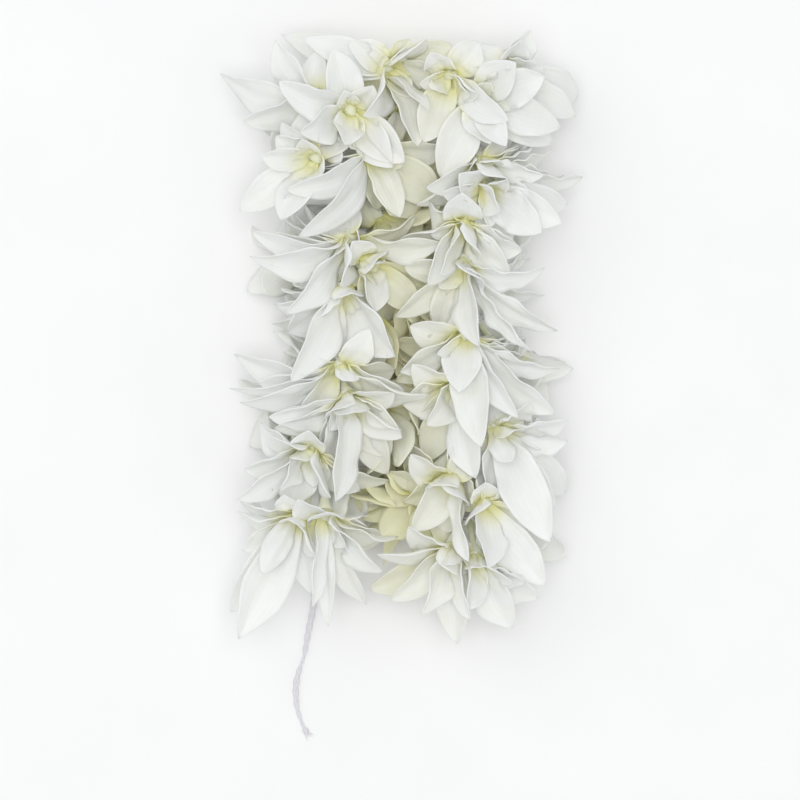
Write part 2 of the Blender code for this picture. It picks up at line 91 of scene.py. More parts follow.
# %% Light
SKY_COLOUR = (0.97, 0.985, 1.0, 1)
SKY_STRENGTH = 0.5
LAMP_POWER = 1.3
LAMP_SIZE = 0.7
LAMP_PLACE = (-0.42, 0.38, 0.75)
FILL_POWER = 0.4
FILL_PLACE = (0.55, -0.35, 0.6)
OVERHEAD_POWER = 4.0
OVERHEAD_SIZE = 0.5
OVERHEAD_PLACE = (0, 0, 1.0)
HIGH_KEY = 1.3


def soft_lamp(name, place, power, size):
    """A square lamp that faces the middle of the pair."""
    lamp = bpy.data.objects.new(name, bpy.data.lights.new(name, "AREA"))
    lamp.data.energy = power
    lamp.data.size = size
    lamp.location = place
    lamp.rotation_euler = (-Vector(place)).to_track_quat("-Z", "Y").to_euler()
    bpy.context.scene.collection.objects.link(lamp)
    return lamp


world = bpy.data.worlds.new("pale sky")
world.use_nodes = True
world.node_tree.nodes["Background"].inputs["Color"].default_value = SKY_COLOUR
world.node_tree.nodes["Background"].inputs["Strength"].default_value = SKY_STRENGTH
bpy.context.scene.world = world
soft_lamp("broad lamp", LAMP_PLACE, LAMP_POWER, LAMP_SIZE)
soft_lamp("fill lamp", FILL_PLACE, FILL_POWER, LAMP_SIZE)
soft_lamp("overhead lamp", OVERHEAD_PLACE, OVERHEAD_POWER, OVERHEAD_SIZE)
bpy.context.scene.view_settings.view_transform = "Standard"
bpy.context.scene.view_settings.gamma = HIGH_KEY

# %% [markdown]
# Node trees for shapes and for surfaces are both written as formulas here. This small helper
# makes a node, joins its inputs to other nodes or gives them plain values, and returns the
# output, so that a formula in the script reads like a formula.


# %% A helper that writes node trees as formulas
class Sketch:
    """Adds nodes to one tree."""

    def __init__(self, tree):
        self.tree = tree

    def node(self, kind, inputs=None, **settings):
        made = self.tree.nodes.new(kind)
        for name, value in settings.items():
            setattr(made, name, value)
        for key, value in (inputs or {}).items():
            self.feed(made.inputs[key], value)
        return made

    def feed(self, socket, value):
        if isinstance(value, bpy.types.NodeSocket):
            self.tree.links.new(value, socket)
        else:
            socket.default_value = value

    def math(self, operation, *values, clamp=False):
        made = self.node("ShaderNodeMath", dict(enumerate(values)), operation=operation)
        made.use_clamp = clamp
        return made.outputs[0]

    def times(self, *values):
        product = values[0]
        for value in values[1:]:
            product = self.math("MULTIPLY", product, value)
        return product

    def plus(self, *values):
        total = values[0]
        for value in values[1:]:
            total = self.math("ADD", total, value)
        return total

    def vector(self, operation, *values):
        made = self.node("ShaderNodeVectorMath", dict(enumerate(values)), operation=operation)
        return made.outputs["Vector"]

    def along(self, way, length):
        made = self.node("ShaderNodeVectorMath", {0: way, "Scale": length}, operation="SCALE")
        return made.outputs["Vector"]

    def between(self, share, a, b):
        made = self.node("ShaderNodeMix", {0: share, 4: a, 5: b}, data_type="VECTOR")
        return made.outputs[1]

    def colour(self, share, a, b):
        made = self.node("ShaderNodeMix", {0: share, 6: a, 7: b}, data_type="RGBA")
        return made.outputs[2]

    def named(self, name, kind="FLOAT"):
        made = self.node("GeometryNodeInputNamedAttribute", {"Name": name}, data_type=kind)
        return made.outputs["Attribute"]

    def noise(self, x, y, z):
        """Noise from -1 to 1 at a place given by three numbers."""
        place = self.node("ShaderNodeCombineXYZ", {0: x, 1: y, 2: z}).outputs[0]
        made = self.node("ShaderNodeTexNoise", {"Vector": place, "Scale": 1.0, "Detail": 1.0})
        return self.math("MULTIPLY_ADD", made.outputs["Fac"], 2.0, -1.0)


def new_group(name, kind, inputs, outputs):
    """A node group with its sockets, its input node's outputs, and its output node."""
    tree = bpy.data.node_groups.new(name, kind)
    for label, socket, value in inputs:
        made = tree.interface.new_socket(label, in_out="INPUT", socket_type=socket)
        if value is not None:
            made.default_value = value
    for label, socket in outputs:
        tree.interface.new_socket(label, in_out="OUTPUT", socket_type=socket)
    sketch = Sketch(tree)
    given = sketch.node("NodeGroupInput").outputs
    result = sketch.node("NodeGroupOutput").inputs
    return tree, sketch, given, result


# %% [markdown]
# Two effects are shared by several finishes, so each is a group. "fine mottle" is the soft
# unevenness of anything grown or spun. "lengthwise veins" are the faint lines that run from a
# petal's root to its tip, and down the outside of a bloom's tube.

# %% Shared effects
mottle, sketch, given, result = new_group(
    "fine mottle", "ShaderNodeTree",
    [("Place", "NodeSocketVector", None), ("Scale", "NodeSocketFloat", 600.0),
     ("Low", "NodeSocketFloat", 0.0), ("High", "NodeSocketFloat", 1.0)],
    [("Value", "NodeSocketFloat")])
cloud = sketch.node("ShaderNodeTexNoise", {"Vector": given["Place"], "Scale": given["Scale"],
                                           "Detail": 3.0, "Roughness": 0.6})
spread = sketch.node("ShaderNodeMapRange", {"Value": cloud.outputs["Fac"], "From Min": 0.3,
                                            "From Max": 0.7, "To Min": given["Low"],
                                            "To Max": given["High"]})
sketch.feed(result["Value"], spread.outputs[0])

veins, sketch, given, result = new_group(
    "lengthwise veins", "ShaderNodeTree",
    [("Across", "NodeSocketFloat", 0.0), ("Along", "NodeSocketFloat", 0.0),
     ("Count", "NodeSocketFloat", 7.0), ("Sharpness", "NodeSocketFloat", 6.0)],
    [("Mask", "NodeSocketFloat")])
waver = sketch.noise(sketch.times(given["Along"], 6.0), sketch.times(given["Across"], 3.0), 0.0)
lane = sketch.plus(sketch.times(given["Across"], given["Count"]), sketch.times(waver, 0.18))
line = sketch.math("ABSOLUTE", sketch.math("COSINE", sketch.times(lane, math.pi)))
line = sketch.math("POWER", line, given["Sharpness"])
to_edge = sketch.math("POWER", sketch.math("ABSOLUTE", given["Across"]), 4.0)
edge = sketch.math("SUBTRACT", 1.0, to_edge, clamp=True)
sketch.feed(result["Mask"], sketch.times(line, edge))
print("shared effects:", mottle.name, "and", veins.name)

# %% [markdown]
# A jasmine petal is white with a breath of green, thin enough for light to soak through, and
# turns yellow-green where it meets the throat. Petals between the strings and deep down are
# painted creamier: painted shade that stands in for the shade there, on top of a small random
# tone. Each petal carries three numbers for this: how far along it a point is, how far across,
# and how creamy it is. The petal's colour is mixed from them.

# %% The petals' finish
PETAL_WHITE = (0.885, 0.90, 0.88, 1)
# Painted shade: petals between the strings and deep down are mixed towards this cream in place of the shade
# there; a small random part is the petal's own tone.
PETAL_CREAM_AND_SHADE = (0.78, 0.76, 0.45, 1)
THROAT_YELLOW = (0.78, 0.76, 0.21, 1)
VEIN_SHADE = (0.78, 0.80, 0.66, 1)
FRECKLE = (0.42, 0.33, 0.20, 1)
FRECKLE_STRENGTH = 0.5
VEIN_STRENGTH = 0.16
FADES_TO_TIP = 0.55


def new_material(name):
    """A material with its Principled shader and a sketch of its tree."""
    made = bpy.data.materials.new(name)
    made.use_nodes = True
    shader = made.node_tree.nodes["Principled BSDF"]
    return made, Sketch(made.node_tree), shader


petal_finish, sketch, shader = new_material("jasmine_petal")
where = sketch.node("ShaderNodeTexCoord").outputs["Object"]
run_along = sketch.node("ShaderNodeAttribute", attribute_name="along").outputs["Fac"]
run_across = sketch.node("ShaderNodeAttribute", attribute_name="across").outputs["Fac"]
tone = sketch.node("ShaderNodeAttribute", attribute_name="tone").outputs["Fac"]
green_end = sketch.node("ShaderNodeAttribute", attribute_name="green").outputs["Fac"]
cloudy = sketch.node("ShaderNodeGroup", node_tree=mottle)
for key, value in (("Place", where), ("Scale", 260.0), ("Low", -0.12), ("High", 0.12)):
    sketch.feed(cloudy.inputs[key], value)
lines = sketch.node("ShaderNodeGroup", node_tree=veins)
for key, value in (("Across", run_across), ("Along", run_along),
                   ("Count", 4.0), ("Sharpness", 5.0)):
    sketch.feed(lines.inputs[key], value)
# Painted shade: the petal's cream number, mostly painted shade and partly random tone, mixes the white
# towards cream and strengthens the throat's yellow a little.
paler = sketch.times(sketch.math("SUBTRACT", 1.0, tone, clamp=True), run_along, -FADES_TO_TIP)
shade_and_tone_share = sketch.plus(sketch.times(tone, sketch.plus(paler, 1.0)), cloudy.outputs[0])
base = sketch.colour(sketch.math("MAXIMUM", shade_and_tone_share, 0.0, clamp=True), PETAL_WHITE, PETAL_CREAM_AND_SHADE)
near_throat = sketch.node("ShaderNodeMapRange", {
    "Value": sketch.plus(run_along, sketch.times(cloudy.outputs[0], 0.4)),
    "From Min": green_end, "From Max": 0.1}, interpolation_type="SMOOTHSTEP").outputs[0]
throat_share = sketch.times(near_throat, sketch.math("MULTIPLY_ADD", tone, 0.2, 0.8))
base = sketch.colour(throat_share, base, THROAT_YELLOW)
base = sketch.colour(sketch.times(lines.outputs[0], VEIN_STRENGTH), base, VEIN_SHADE)
specks = sketch.node("ShaderNodeTexNoise", {"Vector": where, "Scale": 420.0, "Detail": 2.0})
speck_share = sketch.node("ShaderNodeMapRange", {
    "Value": specks.outputs["Fac"], "From Min": 0.76, "From Max": 0.80}).outputs[0]
base = sketch.colour(sketch.times(speck_share, FRECKLE_STRENGTH), base, FRECKLE)
sketch.feed(shader.inputs["Base Color"], base)
sketch.feed(shader.inputs["Roughness"], sketch.plus(cloudy.outputs[0], 0.52))
shader.inputs["Subsurface Weight"].default_value = 0.4
shader.inputs["Subsurface Radius"].default_value = (1.0, 1.0, 0.9)
shader.inputs["Subsurface Scale"].default_value = 0.0009
shader.inputs["Specular IOR Level"].default_value = 0.35
fine = sketch.node("ShaderNodeGroup", node_tree=mottle)
for key, value in (("Place", where), ("Scale", 2600.0), ("Low", 0.0), ("High", 1.0)):
    sketch.feed(fine.inputs[key], value)
height = sketch.plus(sketch.times(lines.outputs[0], -0.6), sketch.times(fine.outputs[0], 0.25))
bump = sketch.node("ShaderNodeBump", {"Height": height, "Strength": 0.35, "Distance": 0.0001})
sketch.feed(shader.inputs["Normal"], bump.outputs[0])

# %% [markdown]
# The tube below the petals is greener and a little waxier. It is palest in the middle, and
# darkens to green at its foot, where the small calyx was.

# %% The tubes' finish
TUBE_PALE = (0.80, 0.82, 0.60, 1)
TUBE_GREEN = (0.42, 0.50, 0.16, 1)
HEART_YELLOW = (0.60, 0.58, 0.16, 1)
tube_finish, sketch, shader = new_material("bloom_tube")
where = sketch.node("ShaderNodeTexCoord").outputs["Object"]
run_along = sketch.node("ShaderNodeAttribute", attribute_name="along").outputs["Fac"]
cloudy = sketch.node("ShaderNodeGroup", node_tree=mottle)
for key, value in (("Place", where), ("Scale", 500.0), ("Low", -0.15), ("High", 0.15)):
    sketch.feed(cloudy.inputs[key], value)
at_foot = sketch.node("ShaderNodeMapRange", {
    "Value": sketch.plus(run_along, cloudy.outputs[0]), "From Min": 0.35, "From Max": 0.0}).outputs[0]
at_heart = sketch.node("ShaderNodeMapRange", {
    "Value": run_along, "From Min": 0.8, "From Max": 0.95}).outputs[0]
base = sketch.colour(at_foot, TUBE_PALE, TUBE_GREEN)
sketch.feed(shader.inputs["Base Color"], sketch.colour(at_heart, base, HEART_YELLOW))
sketch.feed(shader.inputs["Roughness"], sketch.plus(cloudy.outputs[0], 0.5))
shader.inputs["Subsurface Weight"].default_value = 0.25
shader.inputs["Subsurface Radius"].default_value = (1.0, 1.0, 0.5)
shader.inputs["Subsurface Scale"].default_value = 0.001

# %% [markdown]
# Cotton thread is dull and slightly lilac in this light. Its plies are modelled, so the finish
# only adds the spun fibres, as fine streaks that turn round each ply.

# %% The thread's finish
COTTON = (0.77, 0.75, 0.79, 1)
COTTON_SHADE = (0.68, 0.665, 0.71, 1)
cotton_finish, sketch, shader = new_material("cotton_thread")
where = sketch.node("ShaderNodeTexCoord").outputs["Object"]
cloudy = sketch.node("ShaderNodeGroup", node_tree=mottle)
for key, value in (("Place", where), ("Scale", 1500.0), ("Low", 0.0), ("High", 1.0)):
    sketch.feed(cloudy.inputs[key], value)
sketch.feed(shader.inputs["Base Color"], sketch.colour(cloudy.outputs[0], COTTON_SHADE, COTTON))
sketch.feed(shader.inputs["Roughness"], sketch.math("MULTIPLY_ADD", cloudy.outputs[0], 0.1, 0.82))
shader.inputs["Sheen Weight"].default_value = 0.3
bump = sketch.node("ShaderNodeBump", {
    "Height": cloudy.outputs[0], "Strength": 0.6, "Distance": 0.0001})
sketch.feed(shader.inputs["Normal"], bump.outputs[0])
print("finishes:", petal_finish.name, tube_finish.name, cotton_finish.name)

# %% [markdown]
# The table is a plain pale sheet, large enough that no edge of it shows, with the slightest
# unevenness so that it doesn't look computed.

# %% Table
TABLE_PALE = (0.98, 0.98, 0.975, 1)
TABLE_SHADE = (0.95, 0.95, 0.95, 1)
TABLE_HALF_SIDE = 3.0
table_finish, sketch, shader = new_material("pale_table")
where = sketch.node("ShaderNodeTexCoord").outputs["Object"]
cloudy = sketch.node("ShaderNodeGroup", node_tree=mottle)
for key, value in (("Place", where), ("Scale", 30.0), ("Low", 0.0), ("High", 1.0)):
    sketch.feed(cloudy.inputs[key], value)
sketch.feed(shader.inputs["Base Color"], sketch.colour(cloudy.outputs[0], TABLE_SHADE, TABLE_PALE))
shader.inputs["Roughness"].default_value = 0.9
shader.inputs["Specular IOR Level"].default_value = 0.1
table_mesh = bpy.data.meshes.new("table")
work = bmesh.new()
bmesh.ops.create_grid(work, x_segments=1, y_segments=1, size=TABLE_HALF_SIDE)
work.to_mesh(table_mesh)
work.free()
table_mesh.materials.append(table_finish)
table = bpy.data.objects.new("table", table_mesh)
bpy.context.scene.collection.objects.link(table)
print("table", [round(side, 1) for side in table.dimensions], "m")

# %% [markdown]
# Now the strings. Each thread runs along a smooth curve through a few given points, seen from
# above. The left thread has a loose end that drops to the table and trails there.

# %% Where the threads run
THREAD_RADIUS = 0.7
THREAD_HEIGHT = 11.0
THREAD_POINTS = 40
KNOT_RADIUS = 1.15
KNOT_BEHIND = 6.5
KNOT_SPACING = 2.9
GAP = 0.3
STEPS_PER_POINT = 24
LEFT_THREAD = [(-9.5, 70.5), (-11.5, 56), (-12.5, 38), (-12.5, 20), (-13, 2), (-15, -10), (-16, -17)]
RIGHT_THREAD = [(12, 70.5), (14, 54), (14.5, 34), (14, 14), (14.5, -4), (14, -16), (13.5, -25)]
TAIL_ROUTE = [
    (-16.05, -17.35, 10.98), (-16.3, -22, 9.9), (-16.7, -28, 5.6), (-17.1, -33, 2.2),
    (-17.4, -38, 0.9), (-17.9, -43, 0.72), (-18.9, -48, 0.72), (-19.7, -52.5, 0.72),
    (-20.7, -55.5, 0.72), (-21.4, -59, 0.72), (-21.2, -63, 0.72), (-20.3, -66, 0.72),
    (-19.4, -68, 0.72),
]
TAIL_POINTS = 26


def smooth_line(points, count):
    """That many points, evenly spaced, on a smooth curve through the given ones."""
    line = [Vector(p) for p in points]
    padded = [2 * line[0] - line[1]] + line + [2 * line[-1] - line[-2]]
    fine = []
    for before, start, end, after in zip(padded, padded[1:], padded[2:], padded[3:]):
        for step in range(STEPS_PER_POINT):
            t = step / STEPS_PER_POINT
            fine.append(0.5 * (2 * start + (end - before) * t
                               + (2 * before - 5 * start + 4 * end - after) * t ** 2
                               + (3 * start - before - 3 * end + after) * t ** 3))
    fine.append(line[-1])
    run = [0.0]
    for a, b in zip(fine, fine[1:]):
        run.append(run[-1] + (b - a).length)
    wanted = np.linspace(0, run[-1], count)
    return [Vector(p) for p in np.stack(
        [np.interp(wanted, run, [q[axis] for q in fine]) for axis in range(3)], axis=1)]


def thread_line(route, count=THREAD_POINTS):
    """A thread's middle line, level above the table."""
    return smooth_line([(x, y, THREAD_HEIGHT) for x, y in route], count)


def thread_at(route, y):
    """The thread's middle where it passes y."""
    ys = [p[1] for p in route][::-1]
    xs = [p[0] for p in route][::-1]
    return Vector((float(np.interp(y, ys, xs)), y, THREAD_HEIGHT))


def length_of(line):
    return sum((b - a).length for a, b in zip(line, line[1:]))


print("threads", [round(length_of(thread_line(route))) for route in (LEFT_THREAD, RIGHT_THREAD)],
      "mm, loose end", round(length_of(smooth_line(TAIL_ROUTE, TAIL_POINTS))), "mm")

# %% [markdown]
# The blooms that face the camera are listed, the way they hang: where the throat is, and
# where each petal's tip is. These rows are the same as in the solids, so each fine petal
# lands where its solid petal is.

# %% The blooms that face up
LEFT_BLOOMS = [
    ("left_top_front", (-3, 66.5), [
        (-6, 55.5, 7.6, 2), (1, 49.5, 6.4, 0), (6, 57.5, 4.5, 0), (-10, 71, 5, -2), (2, 72, 5, -4)]),
    ("left_top_outer", (-15, 60.5), [
        (-37, 65.5, 6.5, 0), (-32, 59, 7.5, -2), (-25, 70.5, 6, 0), (-16, 72, 6, 2)]),
    ("left_top_middle", (-10, 58), [
        (-20, 53, 6, 1), (-14, 69, 6, 1), (-23, 65, 6, 1), (-11, 50, 5, -1)]),
    ("left_second_inner", (-6, 50), [
        (8.5, 40, 7, 1), (-22.5, 41, 6, 1.5), (-23, 35, 7.5, 1), (-29, 35, 6, -4), (1, 57, 5, -3)]),
    ("left_second_outer", (-16.5, 48.5), [
        (-27.5, 48.5, 5, 2), (-29, 44.5, 6, 0), (-33.5, 40, 5.5, -2), (-24, 55, 5, -1)]),
    ("left_third", (-10, 32.5), [
        (-30.5, 33, 5.5, 0), (-29.5, 27.5, 6.5, -1), (-25, 19.5, 6, 0), (-11, 22.5, 7, 1.5),
        (8, 27, 5, 3), (6.5, 32, 5, 0)]),
    ("left_third_inner", (-7, 28), [
        (11.5, 23, 5, -1), (-4, 18, 6, -2)]),
    ("left_fourth", (-11.5, 22.5), [
        (-1, 8.5, 9, 1.5), (-22.5, 13, 8, 0), (-21.5, 3.5, 6.5, 1), (-24, 22, 5, -3)]),
    ("left_fifth", (-12, 7), [
        (-34, 9, 6.5, 0), (-34.5, 5, 3.5, 1), (-32.5, 1.5, 6, 0), (2.5, -5, 7.5, 1.5), (-6, 14, 5, 0)]),
    ("left_sixth", (-10.5, 1), [
        (-11.5, -20, 6.5, 1), (-2.5, -15.5, 5.5, 1), (-26, -3, 6.5, 1), (-0.5, -7, 3, -1)]),
    ("left_seventh", (-17.5, -9.5), [
        (-31, -14, 6.5, 0), (-32, -20, 5.5, -1), (-23.5, -18, 4, 1), (-29, -5, 6, -3)]),
    ("left_bottom_outer", (-20, -23), [
        (-32.5, -23.5, 5.5, 0), (-34, -42.5, 7, -3), (-32, -47.5, 8, -4), (-27, -34, 4.5, -1)]),
    ("left_bottom_inner", (-15, -22.5), [
        (-17.5, -41, 4, 0), (-14.5, -45.5, 3, -5), (-10, -43, 4, -5), (-6, -36, 8, -2),
        (-1.5, -30.5, 5, -2)]),
]
RIGHT_BLOOMS = [
    ("right_top_inner", (10, 65), [
        (7, 61, 4, -1), (6, 68.5, 5, -2), (16, 71.5, 6, 0), (15, 60, 5, 1)]),
    ("right_top_outer", (19, 65), [
        (28.5, 66.5, 6.5, 1), (37, 61.5, 6.5, -2), (32, 65, 4, 0), (24, 71, 5.5, 1), (36.5, 58, 5, -4)]),
    ("right_second", (14.5, 60), [
        (32.5, 54, 6, 1), (31, 51.5, 6.5, -2), (21, 50, 4.5, 2), (8, 44.5, 7, -5)]),
    ("right_third_outer", (16, 48), [
        (37, 45, 5.5, -1), (28.5, 44.5, 4, 3), (31, 50, 5, -4), (22, 57, 5, -2)]),
    ("right_third_inner", (17, 42.5), [
        (34, 39, 7, -1), (32, 35, 6, -3), (28, 33, 7, 1), (20, 36.5, 5, 2), (8.5, 40.5, 4.5, 1)]),
    ("right_fourth", (13, 35.5), [
        (0, 32, 6.5, -1), (15.5, 28.5, 6.5, 1), (5, 39, 5, -4), (24, 29, 6, -2)]),
    ("right_fifth", (12.5, 27.5), [
        (29, 25, 5.5, 1), (33.5, 16.5, 5, -2), (31, 14, 4, -4), (15.5, 10.5, 7.5, 1.5), (-1, 16.5, 5, -1)]),
    ("right_sixth", (13, 13.5), [
        (32, 5, 5.5, 0), (33, -0.5, 6, -2), (17.5, -9, 6.5, 1), (0, 5.5, 5, 0), (23.5, -3.5, 4.5, 2)]),
    ("right_seventh", (11, 3), [
        (0.5, -1, 7, 0), (6.5, -5, 6, 1), (12, -16, 6, 1.5)]),
    ("right_eighth", (19, -5.5), [
        (33.5, -8, 6, 1), (36, -17, 6.5, -1), (31, -22, 5, -1), (29.5, -28, 8, 0), (22, -13, 4, 2)]),
    ("right_ninth", (10.5, -15), [
        (3, -26, 6, 0), (0.5, -21, 5, -2), (9.5, -32, 4, 1), (2, -11, 6, -3)]),
    ("right_tenth", (16.5, -20.5), [
        (18.5, -32.5, 7.5, 2), (29, -37, 6.5, -1), (24.5, -40.5, 5, -2)]),
    ("right_bottom_inner", (10.5, -29), [
        (-6, -38, 6, -3), (-2, -39.5, 5.5, -5), (5, -42.5, 5.5, -3), (7.5, -48.5, 6.5, -3)]),
    ("right_bottom_outer", (15, -31), [
        (15.5, -41, 7, 0), (22.5, -45.5, 6.5, -4), (13, -43.5, 4, -4), (26, -33, 5, -5)]),
]
print(len(LEFT_BLOOMS) + len(RIGHT_BLOOMS), "blooms face up")

# %% [markdown]
# A petal follows a simple curve: from its root it leaves along the bloom's axis, arches over,
# and ends at its tip. Across that curve it is widest past its middle, and cupped. Seven flat
# pieces are enough to test whether it would touch a neighbour, so the search below works on
# this coarse sheet, and the fine petal is made from the same numbers afterwards.

# %% A petal's curve and its coarse sheet
PETAL_THICKNESS = 0.65
PETAL_ARCH = 0.36
PETAL_FLARE = 0.2
PETAL_CUP = 0.34
BELLY_PLACE = 1.45
BELLY_FULLNESS = 0.8
FRONT_ROWS = (0.3, 0.6, 0.85)
FILL_ROWS = (0.4, 0.78)


def outline(u):
    """Half the width of a petal at u along it, where its widest half is 1."""
    return math.sin(math.pi * u ** BELLY_PLACE) ** BELLY_FULLNESS


def petal_side(petal):
    """The direction across a petal."""
    root, axis, tip, _, _ = petal
    reach = tip - root
    side = axis.cross(reach)
    if side.length < 0.05 * reach.length:
        side = reach.cross(Vector((0, 0, 1)))
    return side.normalized()


def petal_control(petal):
    """The point between root and tip that bends a petal's curve."""
    root, axis, tip, _, _ = petal
    reach = tip - root
    outwards_part = reach - axis * reach.dot(axis)
    return root + axis * reach.length * PETAL_ARCH + outwards_part * PETAL_FLARE


def petal_sheet(petal, rows, grow=0.0):
    """A pointed root, rows of three points, left edge, rib and right edge, and a pointed tip.
    With grow, the sheet is larger by that much all round."""
    root, axis, tip, width, roll = petal
    side, control = petal_side(petal), petal_control(petal)
    if grow:
        tip = tip + (tip - root).normalized() * grow
    points = [root]
    for u in rows:
        place = root * (1 - u) ** 2 + control * 2 * u * (1 - u) + tip * u ** 2
        tangent = ((control - root) * (1 - u) + (tip - control) * u).normalized()
        across = (Matrix.Rotation(roll * u, 3, tangent) @ side).normalized()
        inner = tangent.cross(across)
        half = 0.5 * width * outline(u) + grow
        for v in (-1, 0, 1):
            points.append(place + across * half * v + inner * PETAL_CUP * half * abs(v))
    points.append(tip)
    lowest = 0.5 * PETAL_THICKNESS
    return [Vector((p.x, p.y, max(p.z, lowest))) for p in points]


def sheet_faces(points):
    """Triangles over the rows of three points, from the root to the tip."""
    tip = len(points) - 1
    faces = [(0, 1, 2), (0, 2, 3)]
    for a in range(1, tip - 3, 3):
        b = a + 3
        faces += [(a, b, a + 1), (a + 1, b, b + 1), (a + 1, b + 1, a + 2), (a + 2, b + 1, b + 2)]
    return faces + [(tip - 3, tip, tip - 2), (tip - 2, tip, tip - 1)]


def clear_shell(petal, rows, distance):
    """A closed shell all round a petal, and which of its faces are at the root."""
    points = petal_sheet(petal, rows, grow=distance)
    faces = sheet_faces(points)
    normals = [Vector() for _ in points]
    for face in faces:
        a, b, c = (points[i] for i in face)
        for i in face:
            normals[i] += (b - a).cross(c - a)
    count = len(points)
    shell = [p + n.normalized() * distance for p, n in zip(points, normals)]
    shell += [p - n.normalized() * distance for p, n in zip(points, normals)]
    edge = [0, *range(1, count - 1, 3), count - 1, *reversed(range(3, count - 1, 3))]
    closed = list(faces) + [tuple(i + count for i in face) for face in faces]
    for a, b in zip(edge, edge[1:] + edge[:1]):
        closed += [(a, b, b + count), (a, b + count, a + count)]
    near_root = {k for k, face in enumerate(closed) if min(i % count for i in face) == 0}
    return shell, closed, near_root


# %% [markdown]
# On a real string the petals lie over and between each other, and none grows through another.
# "Crowd" keeps all that stands already in a search tree, and tells what a new petal would cross.

# %% What stands already
TUBE_FOOT_RADIUS = 0.55
THROAT_RADIUS = 1.9
THROAT_DOME = 1.6
TUBE_SWELLS_AT = 0.7
TUBE_SWELL = 0.15
TUBE_SIDES = 5


class Crowd:
    """Tubes, threads and petals, each with the bloom that owns it."""

    def __init__(self):
        self.points, self.faces, self.owners, self.on_petal = [], [], [], []
        self.tree = None

    def add(self, points, faces, owner, petal=False):
        base = len(self.points)
        self.points += points
        self.faces += [tuple(i + base for i in face) for face in faces]
        self.owners += [owner] * len(faces)
        self.on_petal += [petal] * len(faces)

    def settle(self):
        """Readies the search tree for what was added."""
        self.tree = BVHTree.FromPolygons(self.points, self.faces)

    def crossings(self, points, faces, near_root, owner):
        """How many faces of its own bloom's petals it crosses, or None where it crosses others."""
        own = 0
        for mine, theirs in self.tree.overlap(BVHTree.FromPolygons(points, faces)):
            if self.owners[mine] != owner:
                return None
            own += self.on_petal[mine] and theirs not in near_root
        return own


def tube_mesh(foot, throat):
    """A bloom's tube, few-sided, for the search."""
    way = throat - foot
    rings = [(foot, TUBE_FOOT_RADIUS), (foot + TUBE_SWELLS_AT * way, TUBE_FOOT_RADIUS + TUBE_SWELL),
             (throat, THROAT_RADIUS)]
    side = way.orthogonal().normalized()
    points, faces = [], []
    for centre, radius in rings:
        for k in range(TUBE_SIDES):
            spoke = Matrix.Rotation(2 * math.pi * k / TUBE_SIDES, 3, way) @ side
            points.append(centre + spoke * radius)
    top = len(points) - TUBE_SIDES
    for ring in range(len(rings) - 1):
        for k in range(TUBE_SIDES):
            a, b = ring * TUBE_SIDES + k, ring * TUBE_SIDES + (k + 1) % TUBE_SIDES
            faces += [(a, b, b + TUBE_SIDES), (a, b + TUBE_SIDES, a + TUBE_SIDES)]
    faces += [(0, k + 1, k) for k in range(1, TUBE_SIDES - 1)]
    faces += [(top + k, top + (k + 1) % TUBE_SIDES, len(points)) for k in range(TUBE_SIDES)]
    points.append(throat + way.normalized() * THROAT_DOME)
    return points, faces


def add_line(crowd, line, radius, owner):
    """A thread as an obstacle: a square tube round its line."""
    points, faces = [], []
    for p in line:
        points += [p + Vector((dx * radius, 0, dz * radius))
                   for dx, dz in ((-1, -1), (1, -1), (1, 1), (-1, 1))]
    for ring in range(len(line) - 1):
        for k in range(4):
            a, b = 4 * ring + k, 4 * ring + (k + 1) % 4
            faces += [(a, b, b + 4), (a, b + 4, a + 4)]
    crowd.add(points, faces, owner)


# %% [markdown]
# Blooms that face the table or the other string are hidden, and a rule places them along the
# thread. Every bloom is held at a knot a little behind its throat, so its tube slants forwards.

# %% Throats and knots
THROAT_RISE = 7.0
THROAT_SPREAD = 15.0
UNDER_BLOOMS = 6
UNDER_THROAT_HEIGHT = 4.6
UNDER_LEAN = 6.5
UNDER_FROM_ENDS = (10, 1)
INNER_BLOOMS = 4
INNER_THROAT_HEIGHT = 9.5
INNER_LEAN = 8.5
INNER_FROM_ENDS = (14, 6)
KNOTS_FROM_ENDS = (1.5, 1.2)
SEED = 11


def dome(x, y, route, rise, spread):
    """A height over the thread that is greatest above it and falls away to its sides."""
    off = (x - thread_at(route, y).x) / spread
    return THREAD_HEIGHT + rise * math.sqrt(max(0.0, 1 - off ** 2))


def ruled_blooms(side, route):
    """The blooms placed by rule: name, throat."""
    rows = []
    top, bottom = route[0][1] - UNDER_FROM_ENDS[0], route[-1][1] + UNDER_FROM_ENDS[1]
    for k in range(UNDER_BLOOMS):
        y = top + (bottom - top) * k / (UNDER_BLOOMS - 1)
        x = thread_at(route, y).x + UNDER_LEAN * (1 if k % 2 else -1)
        rows.append((f"{side}_under_{k + 1}", Vector((x, y, UNDER_THROAT_HEIGHT))))
    top, bottom = route[0][1] - INNER_FROM_ENDS[0], route[-1][1] + INNER_FROM_ENDS[1]
    inwards = 1 if side == "left" else -1
    for k in range(INNER_BLOOMS):
        y = top + (bottom - top) * (k + (0 if inwards > 0 else 0.5)) / (INNER_BLOOMS - 0.5)
        x = thread_at(route, y).x + INNER_LEAN * inwards
        rows.append((f"{side}_inner_{k + 1}", Vector((x, y, INNER_THROAT_HEIGHT))))
    return rows


def knot_places(throats, route):
    """Where each bloom's knot sits along the thread, none closer than the knot spacing."""
    places = [y + KNOT_BEHIND for y in throats]
    highest, lowest = route[0][1] - KNOTS_FROM_ENDS[0], route[-1][1] + KNOTS_FROM_ENDS[1]
    places[0] = min(places[0], highest)
    for k in range(1, len(places)):
        places[k] = min(places[k], places[k - 1] - KNOT_SPACING)
    places[-1] = max(places[-1], lowest)
    for k in reversed(range(len(places) - 1)):
        places[k] = max(places[k], places[k + 1] + KNOT_SPACING)
    return places


